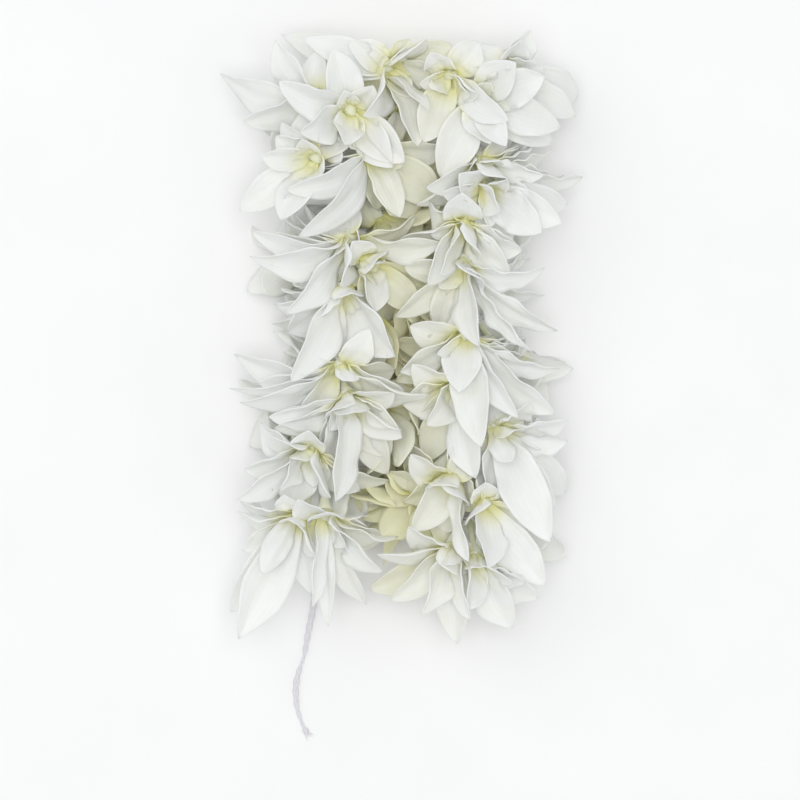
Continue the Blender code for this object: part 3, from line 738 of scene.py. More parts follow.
blooms = []
for side, route, rows_by_hand in (("left", LEFT_THREAD, LEFT_BLOOMS),
                                  ("right", RIGHT_THREAD, RIGHT_BLOOMS)):
    rows = [(name, Vector((x, y, dome(x, y, route, THROAT_RISE, THROAT_SPREAD))), tips)
            for name, (x, y), tips in rows_by_hand]
    rows += [(name, throat, []) for name, throat in ruled_blooms(side, route)]
    rows.sort(key=lambda row: -row[1].y)
    places = knot_places([row[1].y for row in rows], route)
    for (name, throat, tips), foot_y in zip(rows, places):
        knot = thread_at(route, foot_y)
        beside = (throat - knot) * Vector((1, 0, 1))
        foot = knot + beside.normalized() * (KNOT_RADIUS + GAP + 0.5 * TUBE_FOOT_RADIUS)
        way = (throat - foot).normalized()
        blooms.append({
            "name": name, "side": side, "route": route, "tips": tips,
            "knot": knot, "foot": foot, "throat": throat, "axis": way, "petals": [],
            "draw": random.Random(f"{name} {SEED}"),
        })
print(len(blooms), "blooms on two strings")

# %% [markdown]
# The search: a petal that would touch a neighbour is bent clear of it. Its tip is swung aside,
# lifted or lowered, or the petal is made a little smaller, and the cheapest bend that stands
# free is taken.

# %% Bending petals clear of each other
ROOT_RING = 1.15
ROOT_DEPTH = 0.45
HIGHEST = 26.5
LOWEST_AIM = -4.0
SWINGS = (0, 4, -4, 8, -8, 12, -12, 17, -17)
LIFTS = (0, -1, 1, -2, 2, -3, 3, -4.5, 4.5, -6, 6, -8, 8)
SIZES = (1.0, 0.88)
SWING_COST = 0.6
SHRINK_COST = 30
CROSSING_COST = 2.5


def place_petal(bloom, crowd, tip, width, roll, rows, clearance, swings=SWINGS, lifts=LIFTS):
    """The petal, bent until it stands clear, or nothing where no bend frees it."""
    centre, axis = bloom["throat"], bloom["axis"]
    tries = []
    for swing in swings:
        for lift in lifts:
            for size in SIZES:
                cost = SWING_COST * abs(swing) + abs(lift) + SHRINK_COST * (1 - size)
                tries.append((cost, swing, lift, size))
    best, least = None, math.inf
    for cost, swing, lift, size in sorted(tries):
        if cost >= least:
            break
        reach = Matrix.Rotation(math.radians(swing), 3, "Z") @ (tip - centre) * size
        end = centre + reach + Vector((0, 0, lift))
        if not LOWEST_AIM <= end.z <= HIGHEST:
            continue
        out = (end - centre) - axis * (end - centre).dot(axis)
        root = centre - axis * ROOT_DEPTH + out.normalized() * ROOT_RING
        petal = (root, axis, end, width, roll)
        own = crowd.crossings(*clear_shell(petal, rows, clearance), bloom["name"])
        if own is None:
            continue
        points = petal_sheet(petal, rows)
        through = crowd.crossings(points, sheet_faces(points), (), bloom["name"])
        cost += CROSSING_COST * (own + through)
        if cost < least:
            best, least = petal, cost
    return best


def keep_petal(bloom, crowd, petal, rows, kind):
    """Gives the petal to its bloom and puts it among what stands."""
    bloom["petals"].append((petal, kind))
    points = petal_sheet(petal, rows)
    crowd.add(points, sheet_faces(points), bloom["name"], petal=True)
    crowd.settle()


# %% [markdown]
# First come the petals of the solids: those listed, then those that fill the widest gaps round
# each bloom. The random draws are the same as in the solids, bloom by bloom, so the result is
# the same too.

# %% The petals of the solids
FILL_PETAL_LENGTH = 15.0
FILL_PETAL_WIDTH = 6.8
PETALS_ROUND_A_BLOOM = 5
PETALS_ON_A_HIDDEN_BLOOM = 4
INNER_WHORL = (34, 44)
OUTER_WHORL = (60, 72)
TIP_RISE = 13.5
TIP_SPREAD = 21.0
FRONT_PETAL_ROLL = 22
FILL_PETAL_ROLL = 20
SIZE_RANGE = (0.85, 1.1)
WIDER = 1.15
SOLID_CLEARANCE = PETAL_THICKNESS + GAP
FARTHEST_SIDE = 35.0
HIGHEST_TIP = 71.0
LOWEST_TIP = -46.0


def hand_petals(bloom, crowd):
    """The petals listed for a bloom that faces up."""
    for x, y, width, lift in bloom["tips"]:
        z = dome(x, y, bloom["route"], TIP_RISE, TIP_SPREAD) + lift
        roll = math.radians(bloom["draw"].uniform(-FRONT_PETAL_ROLL, FRONT_PETAL_ROLL))
        tip = Vector((x, y, min(max(z, 1.0), HIGHEST)))
        petal = place_petal(bloom, crowd, tip, width * WIDER, roll, FRONT_ROWS, SOLID_CLEARANCE)
        if petal:
            keep_petal(bloom, crowd, petal, FRONT_ROWS, "front")


def angles_taken(bloom):
    """Two directions across the bloom's axis, and the angle of each petal round it."""
    side = bloom["axis"].orthogonal().normalized()
    other = bloom["axis"].cross(side)
    taken = []
    for petal, _ in bloom["petals"]:
        reach = petal[2] - petal[0]
        taken.append(math.atan2(reach.dot(other), reach.dot(side)) % (2 * math.pi))
    return side, other, taken


def fill_petals(bloom, crowd, wanted, clearance, kind, draw):
    """Petals in the widest gaps round the bloom's axis, until it has enough."""
    axis = bloom["axis"]
    side, other, taken = angles_taken(bloom)
    if not taken:
        taken = [draw.uniform(0, 2 * math.pi)]
    for _ in range(3 * wanted):
        if len(bloom["petals"]) >= wanted:
            break
        ring = sorted(taken)
        gaps = [(b - a, a) for a, b in zip(ring, ring[1:] + [ring[0] + 2 * math.pi])]
        wide, start = max(gaps)
        angle = (start + wide / 2) % (2 * math.pi)
        taken.append(angle)
        whorl = OUTER_WHORL if len(bloom["petals"]) % 2 else INNER_WHORL
        spread = math.radians(draw.uniform(*whorl))
        out = side * math.cos(angle) + other * math.sin(angle)
        heading = axis * math.cos(spread) + out * math.sin(spread)
        length = FILL_PETAL_LENGTH * draw.uniform(*SIZE_RANGE)
        tip = bloom["throat"] + heading * length
        if kind == "more":
            tip.x = min(max(tip.x, -FARTHEST_SIDE), FARTHEST_SIDE)
            tip.y = min(max(tip.y, LOWEST_TIP), HIGHEST_TIP)
        tip.z = min(max(tip.z, LOWEST_AIM), HIGHEST)
        roll = math.radians(draw.uniform(-FILL_PETAL_ROLL, FILL_PETAL_ROLL))
        width = FILL_PETAL_WIDTH * draw.uniform(*SIZE_RANGE)
        petal = place_petal(bloom, crowd, tip, width, roll, FILL_ROWS, clearance)
        if petal:
            keep_petal(bloom, crowd, petal, FILL_ROWS, kind)


crowd = Crowd()
for bloom in blooms:
    crowd.add(*tube_mesh(bloom["foot"], bloom["throat"]), bloom["name"])
for route in (LEFT_THREAD, RIGHT_THREAD):
    add_line(crowd, thread_line(route), THREAD_RADIUS, "thread")
add_line(crowd, smooth_line(TAIL_ROUTE, TAIL_POINTS), THREAD_RADIUS, "tail")
crowd.settle()
in_turn = sorted(blooms, key=lambda b: (not b["tips"], -b["throat"].y))
for bloom in in_turn:
    hand_petals(bloom, crowd)
for bloom in in_turn:
    enough = PETALS_ROUND_A_BLOOM if bloom["tips"] else PETALS_ON_A_HIDDEN_BLOOM
    fill_petals(bloom, crowd, enough, SOLID_CLEARANCE, "fill", bloom["draw"])
print(sum(len(b["petals"]) for b in blooms), "petals where the solids have them")

# %% [markdown]
# Real petals are thinner than the solids' and there are more of them. With the finer clearance
# that thin petals need, more fit between the first ones. Every bloom gets a second round, then
# petals that hang over the outer side of its string, where the thread would lie bare. Last, a
# look from straight above finds the gaps that are left, and the nearest bloom that can reach one
# grows a petal over it. Two small petals stand round each bloom's heart.

# %% More petals, now that they are thin
THIN_CLEARANCE = 0.4
MORE_PETALS = {"front": 8, "inner": 9, "under": 6}
HEART_PETALS = 2
HEART_LENGTH = 8.0
HEART_LENGTHS = (0.8, 1.25)
HEART_WIDTH = 4.2
HEART_WIDTHS = (0.85, 1.15)
HEART_SPREAD = (30, 52)
HEART_UNEVENNESS = 0.3
HEART_RING = 0.7
HEART_ROLL = 30
HEART_CLEARANCE = 0.1
FLANK_PETALS = 3
FLANK_REACH = (10.5, 16.0)
FLANK_FORWARD = (-5.0, 8.0)
FLANK_HEIGHT = (8.0, 13.5)
GAP_STEP = 1.9
GAPS_TOP = 67.0
GAPS_BOTTOM = -29.0
LOOK_FROM = 60.0
BACKING_PETALS = {"width": 10.5, "depth": 9.0, "beside": -5.0}
COVER_PETALS = {"width": 7.0, "depth": 8.0, "beside": 8.0}
COVER_LENGTHS = (9, 17)
PAST_THE_GAP = 1.5
COVER_SINKS = 0.5
COVER_HEIGHT = 4
COVER_CLEARANCE = 0.15
COVER_SWINGS = (0, 6, -6, 12, -12)
COVER_LIFTS = (0, -2, 2, -4, -6)
MOST_PETALS = 16
BLOOMS_TRIED = 8


def kind_of(bloom):
    return "front" if bloom["tips"] else ("inner" if "inner" in bloom["name"] else "under")


def heart_petals(bloom, crowd, draw):
    """Short petals that stand round the bloom's heart, where nothing else passes."""
    axis = bloom["axis"]
    side = axis.orthogonal().normalized()
    start = draw.uniform(0, 2 * math.pi)
    for k in range(HEART_PETALS):
        uneven = draw.uniform(-HEART_UNEVENNESS, HEART_UNEVENNESS)
        angle = start + 2 * math.pi * k / HEART_PETALS + uneven
        out = Matrix.Rotation(angle, 3, axis) @ side
        spread = math.radians(draw.uniform(*HEART_SPREAD))
        length = HEART_LENGTH * draw.uniform(*HEART_LENGTHS)
        root = bloom["throat"] - axis * ROOT_DEPTH + out * HEART_RING
        tip = bloom["throat"] + (axis * math.cos(spread) + out * math.sin(spread)) * length
        width = HEART_WIDTH * draw.uniform(*HEART_WIDTHS)
        roll = math.radians(draw.uniform(-HEART_ROLL, HEART_ROLL))
        petal = (root, axis, tip, width, roll)
        shell, faces, near_root = clear_shell(petal, FILL_ROWS, HEART_CLEARANCE)
        if tip.z < HIGHEST and crowd.crossings(shell, faces, near_root, bloom["name"]) is not None:
            bloom["petals"].append((petal, "heart"))


def flank_petals(bloom, crowd, draw):
    """Petals that hang over the outer side of the string and hide its thread from there."""
    outwards = -1 if bloom["side"] == "left" else 1
    for _ in range(FLANK_PETALS):
        tip = Vector((bloom["knot"].x + outwards * draw.uniform(*FLANK_REACH),
                      bloom["throat"].y - draw.uniform(*FLANK_FORWARD),
                      draw.uniform(*FLANK_HEIGHT)))
        width = FILL_PETAL_WIDTH * draw.uniform(*SIZE_RANGE)
        roll = math.radians(draw.uniform(-FILL_PETAL_ROLL, FILL_PETAL_ROLL))
        petal = place_petal(bloom, crowd, tip, width, roll, FILL_ROWS, THIN_CLEARANCE)
        if petal:
            keep_petal(bloom, crowd, petal, FILL_ROWS, "more")


def gap_from_above(crowd, x, y, depth):
    """Whether a look straight down at x, y meets no petal above that depth."""
    place, _, face, _ = crowd.tree.ray_cast(Vector((x, y, LOOK_FROM)), Vector((0, 0, -1)))
    return face is None or not crowd.on_petal[face] or place.z < depth


def covers(petal, x, y):
    """Whether the petal passes over x, y."""
    points = petal_sheet(petal, FILL_ROWS)
    sheet = BVHTree.FromPolygons(points, sheet_faces(points))
    return sheet.ray_cast(Vector((x, y, LOOK_FROM)), Vector((0, 0, -1)))[2] is not None


def cover_gaps(crowd, helpers, width, depth, beside):
    """Petals from the nearest blooms over every gap that is deeper than depth, seen from above."""
    draw = random.Random(f"gaps {width}")
    added = left_open = 0
    for y in np.arange(GAPS_TOP, GAPS_BOTTOM, -GAP_STEP):
        left, right = thread_at(LEFT_THREAD, y).x, thread_at(RIGHT_THREAD, y).x
        for x in np.arange(left - beside, right + beside, GAP_STEP):
            if not gap_from_above(crowd, x, y, depth):
                continue
            spot = Vector((x, y, 0))
            near = sorted((b for b in helpers if len(b["petals"]) < MOST_PETALS),
                          key=lambda b: ((b["throat"] - spot) * Vector((1, 1, 0))).length)
            for bloom in near[:BLOOMS_TRIED]:
                reach = (spot - bloom["throat"]) * Vector((1, 1, 0))
                length = min(max(reach.length * PAST_THE_GAP, COVER_LENGTHS[0]), COVER_LENGTHS[1])
                tip = bloom["throat"] + reach.normalized() * length
                tip.z = bloom["throat"].z * COVER_SINKS + COVER_HEIGHT
                roll = math.radians(draw.uniform(-FILL_PETAL_ROLL, FILL_PETAL_ROLL))
                petal = place_petal(bloom, crowd, tip, width * draw.uniform(*SIZE_RANGE), roll,
                                    FILL_ROWS, COVER_CLEARANCE, COVER_SWINGS, COVER_LIFTS)
                if petal and covers(petal, x, y):
                    keep_petal(bloom, crowd, petal, FILL_ROWS, "more")
                    added += 1
                    break
            else:
                left_open += 1
    print(added, "petals cover gaps,", left_open, "gaps stay")


for bloom in in_turn:
    more = random.Random(f"{bloom['name']} more")
    fill_petals(bloom, crowd, MORE_PETALS[kind_of(bloom)], THIN_CLEARANCE, "more", more)
before = sum(len(b["petals"]) for b in blooms)
for bloom in in_turn:
    if kind_of(bloom) != "inner":
        flank_petals(bloom, crowd, random.Random(f"{bloom['name']} flank"))
print(sum(len(b["petals"]) for b in blooms) - before, "petals hang over the outer sides")
cover_gaps(crowd, [b for b in blooms if not b["tips"]], **BACKING_PETALS)
cover_gaps(crowd, blooms, **COVER_PETALS)
for bloom in in_turn:
    heart_petals(bloom, crowd, random.Random(f"{bloom['name']} heart"))
print(sum(len(b["petals"]) for b in blooms), "petals with the thin ones")

# %% [markdown]
# A fine petal is a formula too, so Geometry Nodes make it: a flat grid is copied to one point
# for each petal, and every grid point is moved to its place on the curved, cupped and waved
# sheet. The point carries the petal's own numbers, which its copy of the grid inherits. The
# tree's inputs say how fine the grid is, and how strong the creases and waves are.

# %% The tree that grows petals
CLAW = 0.26
RAGGED_EDGE = 0.13
CREASE_SHARPNESS = 26.0
LOWEST_PETAL = 0.16


def petal_tree():
    tree, s, given, result = new_group(
        "petals from their numbers", "GeometryNodeTree",
        [("Points", "NodeSocketGeometry", None), ("Points across", "NodeSocketInt", 13),
         ("Points along", "NodeSocketInt", 29), ("Crease", "NodeSocketFloat", 0.00022),
         ("Rib height", "NodeSocketFloat", 0.00007), ("Buckle", "NodeSocketFloat", 0.001)],
        [("Petals", "NodeSocketGeometry")])
    grid = s.node("GeometryNodeMeshGrid", {"Size X": 2.0, "Size Y": 1.0,
                                           "Vertices X": given["Points across"],
                                           "Vertices Y": given["Points along"]})
    flat = s.node("ShaderNodeSeparateXYZ", {0: s.node("GeometryNodeInputPosition").outputs[0]})
    sheet = grid.outputs["Mesh"]
    for name, value in (("across", flat.outputs["X"]), ("along", s.plus(flat.outputs["Y"], 0.5))):
        sheet = s.node("GeometryNodeStoreNamedAttribute",
                       {"Geometry": sheet, "Name": name, "Value": value}).outputs[0]
    copies = s.node("GeometryNodeInstanceOnPoints", {"Points": given["Points"], "Instance": sheet})
    sheets = s.node("GeometryNodeRealizeInstances", {0: copies.outputs[0]}).outputs[0]

    u, v = s.named("along"), s.named("across")
    root, control = s.named("root", "FLOAT_VECTOR"), s.named("control", "FLOAT_VECTOR")
    tip, side = s.named("tip", "FLOAT_VECTOR"), s.named("side", "FLOAT_VECTOR")
    width, roll, phase = s.named("width"), s.named("roll"), s.named("phase")

    # The rib: where it is at u, which way it runs, and which way is across and up there.
    near, far = s.between(u, root, control), s.between(u, control, tip)
    rib = s.between(u, near, far)
    tangent = s.vector("NORMALIZE", s.vector("SUBTRACT", far, near))
    across = s.node("ShaderNodeVectorRotate", {
        "Vector": side, "Axis": tangent, "Angle": s.times(roll, u)},
        rotation_type="AXIS_ANGLE").outputs[0]
    inner = s.vector("CROSS_PRODUCT", tangent, across)

    # The outline: a belly past the middle, a narrow claw at the root, and an uneven edge.
    belly = s.math("SINE", s.times(s.math("POWER", u, BELLY_PLACE), math.pi))
    shape = s.math("POWER", s.math("MAXIMUM", belly, 0.0), BELLY_FULLNESS)
    claw = s.times(s.math("POWER", s.math("SUBTRACT", 1.0, u), 3.0), CLAW)
    ragged = s.noise(s.times(u, 3.4), s.plus(s.times(s.math("SIGN", v), 1.7), s.times(phase, 11.0)),
                     s.times(phase, 37.0))
    half = s.times(0.5, width, s.plus(shape, claw), s.plus(s.times(ragged, RAGGED_EDGE), 1.0))

    # The height over the rib: cup, crease and ribs, then what waves, ruffles, buckles and curls.
    off = s.math("ABSOLUTE", v)
    square = s.times(v, v)
    middle = s.math("SINE", s.times(u, math.pi))
    cup = s.times(half, s.named("cup"), s.plus(s.times(square, 0.75), s.times(off, 0.25)))
    groove = s.math("EXPONENT", s.times(square, -CREASE_SHARPNESS))
    crease = s.times(groove, middle, given["Crease"], -1.0)
    ribs = s.times(s.math("COSINE", s.times(v, 4.0 * math.pi)), middle, given["Rib height"])
    swell = s.plus(s.times(s.plus(s.times(u, 1.7), phase), 2.0 * math.pi), s.times(v, 1.2))
    wave = s.times(s.named("wave"), square, s.math("SINE", swell), s.math("POWER", middle, 0.6))
    flutter = s.plus(s.times(s.plus(s.times(u, 4.3), s.times(phase, 3.0)), 2.0 * math.pi),
                     s.times(v, 2.6))
    ruffle = s.times(s.named("ruffle"), square, s.math("SINE", flutter), s.times(u, middle))
    buckle = s.times(s.noise(s.plus(s.times(u, 2.3), s.times(phase, 17.0)),
                             s.plus(s.times(v, 0.9), s.times(phase, 5.0)), s.times(phase, 29.0)),
                     middle, given["Buckle"])
    past = s.math("MAXIMUM", s.math("MULTIPLY_ADD", u, 2.2, -1.2), 0.0)
    curl = s.times(s.named("recurve"), past, past, -1.0)
    rise = s.plus(cup, crease, ribs, wave, ruffle, buckle, curl)

    # The place in space, kept above the table, and one point where the sheet runs out at the tip.
    place = s.vector("ADD", rib, s.along(across, s.times(half, v)))
    place = s.vector("ADD", place, s.along(inner, rise))
    parts = s.node("ShaderNodeSeparateXYZ", {0: place}).outputs
    place = s.node("ShaderNodeCombineXYZ", {0: parts[0], 1: parts[1],
                                            2: s.math("MAXIMUM", parts[2], LOWEST_PETAL * MM)}).outputs[0]
    moved = s.node("GeometryNodeSetPosition", {"Geometry": sheets, "Position": place}).outputs[0]
    at_tip = s.math("GREATER_THAN", u, 0.99)
    merged = s.node("GeometryNodeMergeByDistance", {
        "Geometry": moved, "Distance": 0.00001, "Selection": at_tip}).outputs[0]
    smooth = s.node("GeometryNodeSetShadeSmooth", {"Geometry": merged}).outputs[0]
    real = s.node("GeometryNodeRealizeInstances", {0: smooth}).outputs[0]
    dressed = s.node("GeometryNodeSetMaterial", {"Geometry": real, "Material": petal_finish}).outputs[0]
    s.feed(result["Petals"], dressed)
    return tree


petals_from_numbers = petal_tree()
print(len(petals_from_numbers.nodes), "nodes grow the petals")

# %% [markdown]
# A bloom's tube is a short curve from its foot to its throat, thin at first and flaring at the
# end. A second tree sweeps a circle along it, scaled by the radius at each point. The tree also
# stores how far along the tube a point is, for the green at its foot.

# %% The tree that sweeps a tube
TUBE_PROFILE = [(0.0, 0.45), (0.03, 0.62), (0.12, 0.68), (0.2, 0.56), (0.5, 0.62), (0.7, 0.8),
                (0.85, 1.2), (0.95, 1.65), (1.0, 1.85)]
FUNNEL_PROFILE = [(-0.1, 1.6), (-0.9, 1.0), (-2.0, 0.5), (-3.0, 0.25)]


def sweep_tree(name, finish):
    tree, s, given, result = new_group(
        name, "GeometryNodeTree",
        [("Curve", "NodeSocketGeometry", None), ("Sides", "NodeSocketInt", 14)],
        [("Tube", "NodeSocketGeometry")])
    share = s.node("GeometryNodeSplineParameter").outputs["Factor"]
    marked = s.node("GeometryNodeStoreNamedAttribute",
                    {"Geometry": given["Curve"], "Name": "along", "Value": share}).outputs[0]
    circle = s.node("GeometryNodeCurvePrimitiveCircle", {"Resolution": given["Sides"], "Radius": 1.0})
    swept = s.node("GeometryNodeCurveToMesh", {"Curve": marked, "Profile Curve": circle.outputs[0],
                                               "Scale": s.node("GeometryNodeInputRadius").outputs[0],
                                               "Fill Caps": True}).outputs[0]
    smooth = s.node("GeometryNodeSetShadeSmooth", {"Geometry": swept}).outputs[0]
    real = s.node("GeometryNodeRealizeInstances", {0: smooth}).outputs[0]
    dressed = s.node("GeometryNodeSetMaterial", {"Geometry": real, "Material": finish}).outputs[0]
    s.feed(result["Tube"], dressed)
    return tree


tube_sweep = sweep_tree("tube along its curve", tube_finish)


def new_curve(name, lines):
    """A curve object from lists of (point in millimetres, radius in millimetres)."""
    curve = bpy.data.curves.new(name, "CURVE")
    curve.dimensions = "3D"
    for line in lines:
        spline = curve.splines.new("POLY")
        spline.points.add(len(line) - 1)
        for point, (place, radius) in zip(spline.points, line):
            point.co = (*placed(place), 1)
            point.radius = radius * MM
    obj = bpy.data.objects.new(name, curve)
    bpy.context.scene.collection.objects.link(obj)
    return obj


def grown(obj, tree, inputs=None, thickness=0.0):
    """The object's shape after the tree, as a plain mesh. The object itself is removed."""
    modifier = obj.modifiers.new("tree", "NODES")
    modifier.node_group = tree
    for item in tree.interface.items_tree:
        if item.in_out == "INPUT" and item.name in (inputs or {}):
            modifier[item.identifier] = inputs[item.name]
    if thickness:
        wall = obj.modifiers.new("thickness", "SOLIDIFY")
        wall.thickness = thickness * MM
        wall.offset = 0
    mesh = bpy.data.meshes.new_from_object(obj.evaluated_get(bpy.context.evaluated_depsgraph_get()))
    bpy.data.objects.remove(obj)
    return mesh


# %% [markdown]
# Each petal's own numbers come from its place in the search, plus a seeded draw for what no two
# petals share: how much its edge waves, how its tip curls, and a small random part of its cream.
# Petals between the strings and deep in the string are painted creamier than those in the light,
# as painted shade that stands in for the shade there.

# %% A petal's own numbers
THIN = 0.2
WAVE = {"front": (0.3, 0.9), "fill": (0.2, 0.6), "more": (0.15, 0.45), "heart": (0.05, 0.2)}
RECURVE = {"front": (-0.5, 1.6), "fill": (-0.4, 0.9), "more": (-0.4, 0.6), "heart": (-0.5, 0.2)}
CUP = {"front": (0.26, 0.44), "fill": (0.24, 0.4), "more": (0.2, 0.36), "heart": (0.25, 0.45)}
GREEN_REACH = {"front": (5.5, 8.5), "fill": (6, 9), "more": (7, 12), "heart": (6, 9)}
MOST_GREEN = {"front": 0.9, "fill": 0.85, "more": 0.65, "heart": 1.2}
RUFFLE = {False: (0.0, 0.35), True: (0.5, 1.1)}
CRUMPLED_SIDE = 24.0
FULLER = 1.1
WIDEST = 8.4
STRINGS_MEET = 1.5
PAINTED_SHADE_REACH = 14.0
# Painted shade: how close to where the strings meet, and how deep, a petal must lie to be painted creamier
# in place of shade.
PAINTED_SHADE_PLATEAU = 1.5
LIT_HEIGHT = 20.0
DARK_HEIGHT = 10.0
PAINTED_SHADE_SHARES = {"between": 0.3, "between and deep": 0.8, "deep": 0.15}
CREAM_CHANCE = 0.1


def painted_shade_and_tone(petal, draw):
    """How creamy a petal is: a small random tone, plus painted shade that is most between the two strings
    and deep down.
    """
    middle = (petal[0] + petal[2]) / 2
    near = max(0.0, 1 - abs(middle.x - STRINGS_MEET) / PAINTED_SHADE_REACH)
    between = min(PAINTED_SHADE_PLATEAU * near, 1.0)
    deep = min(max((LIT_HEIGHT - middle.z) / (LIT_HEIGHT - DARK_HEIGHT), 0.0), 1.0)
    return (draw.uniform(-CREAM_CHANCE, CREAM_CHANCE)
            + between * (PAINTED_SHADE_SHARES["between"] + PAINTED_SHADE_SHARES["between and deep"] * deep)
            + PAINTED_SHADE_SHARES["deep"] * deep)


def petal_points(bloom):
    """An object with one loose point for each petal, carrying the petal's numbers."""
    draw = random.Random(f"{bloom['name']} looks")
    mesh = bpy.data.meshes.new(bloom["name"] + "_points")
    mesh.from_pydata([placed(petal[0]) for petal, _ in bloom["petals"]], [], [])
    names = ("root", "control", "tip", "side", "width", "roll", "phase", "cup", "wave", "ruffle",
             "recurve", "tone", "green")
    columns = {name: [] for name in names}
    for petal, kind in bloom["petals"]:
        columns["root"].append(placed(petal[0]))
        columns["control"].append(placed(petal_control(petal)))
        columns["tip"].append(placed(petal[2]))
        columns["side"].append(petal_side(petal))
        columns["width"].append(max(petal[3], min(petal[3] * FULLER, WIDEST)) * MM)
        columns["roll"].append(petal[4])
        columns["phase"].append(draw.uniform(0, 1))
        columns["cup"].append(draw.uniform(*CUP[kind]))
        columns["wave"].append(draw.uniform(*WAVE[kind]) * MM)
        crumpled = petal[2].x > CRUMPLED_SIDE and kind != "heart"
        columns["ruffle"].append(draw.uniform(*RUFFLE[crumpled]) * MM)
        columns["recurve"].append(draw.uniform(*RECURVE[kind]) * MM)
        # Painted shade between the strings and deep down, plus a little random tone.
        columns["tone"].append(painted_shade_and_tone(petal, draw))
        reach = draw.uniform(*GREEN_REACH[kind]) / (petal[2] - petal[0]).length
        columns["green"].append(min(reach, MOST_GREEN[kind]))
    for name, values in columns.items():
        if isinstance(values[0], Vector):
            attribute = mesh.attributes.new(name, "FLOAT_VECTOR", "POINT")
            attribute.data.foreach_set("vector", np.ravel([list(value) for value in values]))
        else:
            attribute = mesh.attributes.new(name, "FLOAT", "POINT")
            attribute.data.foreach_set("value", values)
    obj = bpy.data.objects.new(mesh.name, mesh)
    bpy.context.scene.collection.objects.link(obj)
    return obj


def tube_line(bloom):
    """The points and radii of a bloom's tube, with the funnel that goes down into its throat."""
    way = bloom["throat"] - bloom["foot"]
    line = [(bloom["foot"] + way * share, radius) for share, radius in TUBE_PROFILE]
    return line + [(bloom["throat"] + bloom["axis"] * up, radius) for up, radius in FUNNEL_PROFILE]


# %% [markdown]
# Now every bloom is built: its petals and its tube are joined into one piece, which rides on
# the pair and stands for its plain solid. Hidden blooms get a coarser grid.

# %% Build the blooms
FINE_GRID = {"Points across": 13, "Points along": 27}
PLAIN_GRID = {"Points across": 9, "Points along": 19}


def joined(name, meshes):
    """One object from several meshes, with their materials kept."""
    objects = []
    for mesh in meshes:
        obj = bpy.data.objects.new(name, mesh)
        bpy.context.scene.collection.objects.link(obj)
        objects.append(obj)
    if len(objects) > 1:
        with bpy.context.temp_override(active_object=objects[0], selected_editable_objects=objects):
            bpy.ops.object.join()
    objects[0].name = name
    objects[0].data.name = name
    return objects[0]


def triangles(obj):
    obj.data.calc_loop_triangles()
    return len(obj.data.loop_triangles)


total = 0
for bloom in blooms:
    grid = FINE_GRID if bloom["tips"] else PLAIN_GRID
    petals = grown(petal_points(bloom), petals_from_numbers, grid, THIN)
    tube = grown(new_curve(bloom["name"] + "_tube", [tube_line(bloom)]), tube_sweep)
    piece = joined(bloom["name"] + "_bloom", [petals, tube])
    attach(piece, "root")
    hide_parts(bloom["name"])
    total += triangles(piece)
print(len(blooms), "blooms,", total, "triangles")

# %% [markdown]
# A garland thread is two plies twisted together. A third tree makes them: the thread's line is
# doubled, each copy is pushed off the line and turned round it as it goes, and a small circle is
# swept along. The loops that bind each bloom's tube to the thread are the same yarn, unspun.

# %% The tree that twists plies
PLY_RADIUS = 0.42
PLY_OFFSET = 0.27
TWIST_PITCH = 4.6
LINE_STEP = 0.35


def ply_tree():
    tree, s, given, result = new_group(
        "plies round a line", "GeometryNodeTree",
        [("Curve", "NodeSocketGeometry", None), ("Plies", "NodeSocketInt", 2),
         ("Ply radius", "NodeSocketFloat", PLY_RADIUS * MM),
         ("Ply offset", "NodeSocketFloat", PLY_OFFSET * MM),
         ("Pitch", "NodeSocketFloat", TWIST_PITCH * MM), ("Sides", "NodeSocketInt", 8)],
        [("Thread", "NodeSocketGeometry")])
    doubled = s.node("GeometryNodeDuplicateElements", {
        "Geometry": given["Curve"], "Amount": given["Plies"]}, domain="SPLINE")
    start = s.math("DIVIDE", s.times(doubled.outputs["Duplicate Index"], 2.0 * math.pi), given["Plies"])
    run = s.node("GeometryNodeSplineParameter").outputs["Length"]
    angle = s.plus(start, s.times(s.math("DIVIDE", run, given["Pitch"]), 2.0 * math.pi))
    away = s.node("ShaderNodeVectorRotate", {
        "Vector": s.node("GeometryNodeInputNormal").outputs["Normal"],
        "Axis": s.node("GeometryNodeInputTangent").outputs[0], "Angle": angle},
        rotation_type="AXIS_ANGLE").outputs[0]
    scale = s.node("GeometryNodeInputRadius").outputs[0]
    twisted = s.node("GeometryNodeSetPosition", {
        "Geometry": doubled.outputs["Geometry"],
        "Offset": s.along(away, s.times(given["Ply offset"], scale))}).outputs[0]
    circle = s.node("GeometryNodeCurvePrimitiveCircle", {"Resolution": given["Sides"],
                                                         "Radius": given["Ply radius"]})
    swept = s.node("GeometryNodeCurveToMesh", {"Curve": twisted, "Profile Curve": circle.outputs[0],
                                               "Scale": scale, "Fill Caps": True}).outputs[0]
    smooth = s.node("GeometryNodeSetShadeSmooth", {"Geometry": swept}).outputs[0]
    real = s.node("GeometryNodeRealizeInstances", {0: smooth}).outputs[0]
    dressed = s.node("GeometryNodeSetMaterial", {"Geometry": real, "Material": cotton_finish}).outputs[0]
    s.feed(result["Thread"], dressed)
    return tree


plies_round_a_line = ply_tree()


def scaled_curve(name, lines):
    """A curve whose radius says how full the thread is, where 1 is its own size."""
    return new_curve(name, [[(place, fullness / MM) for place, fullness in line] for line in lines])


# %% [markdown]
# The two long threads, with the binding loops at every knot. A loop goes round the thread and
# the foot of the bloom's tube together, two turns, as the garland maker's thread does.

# %% Build the threads
LOOP_TURNS = 2.0
LOOP_STEPS = 40
LOOP_RADIUS = 0.3
LOOP_WIDE = 1.9
LOOP_HIGH = 1.05
LOOP_PITCH = 0.75
LOOP_SIDES = 7


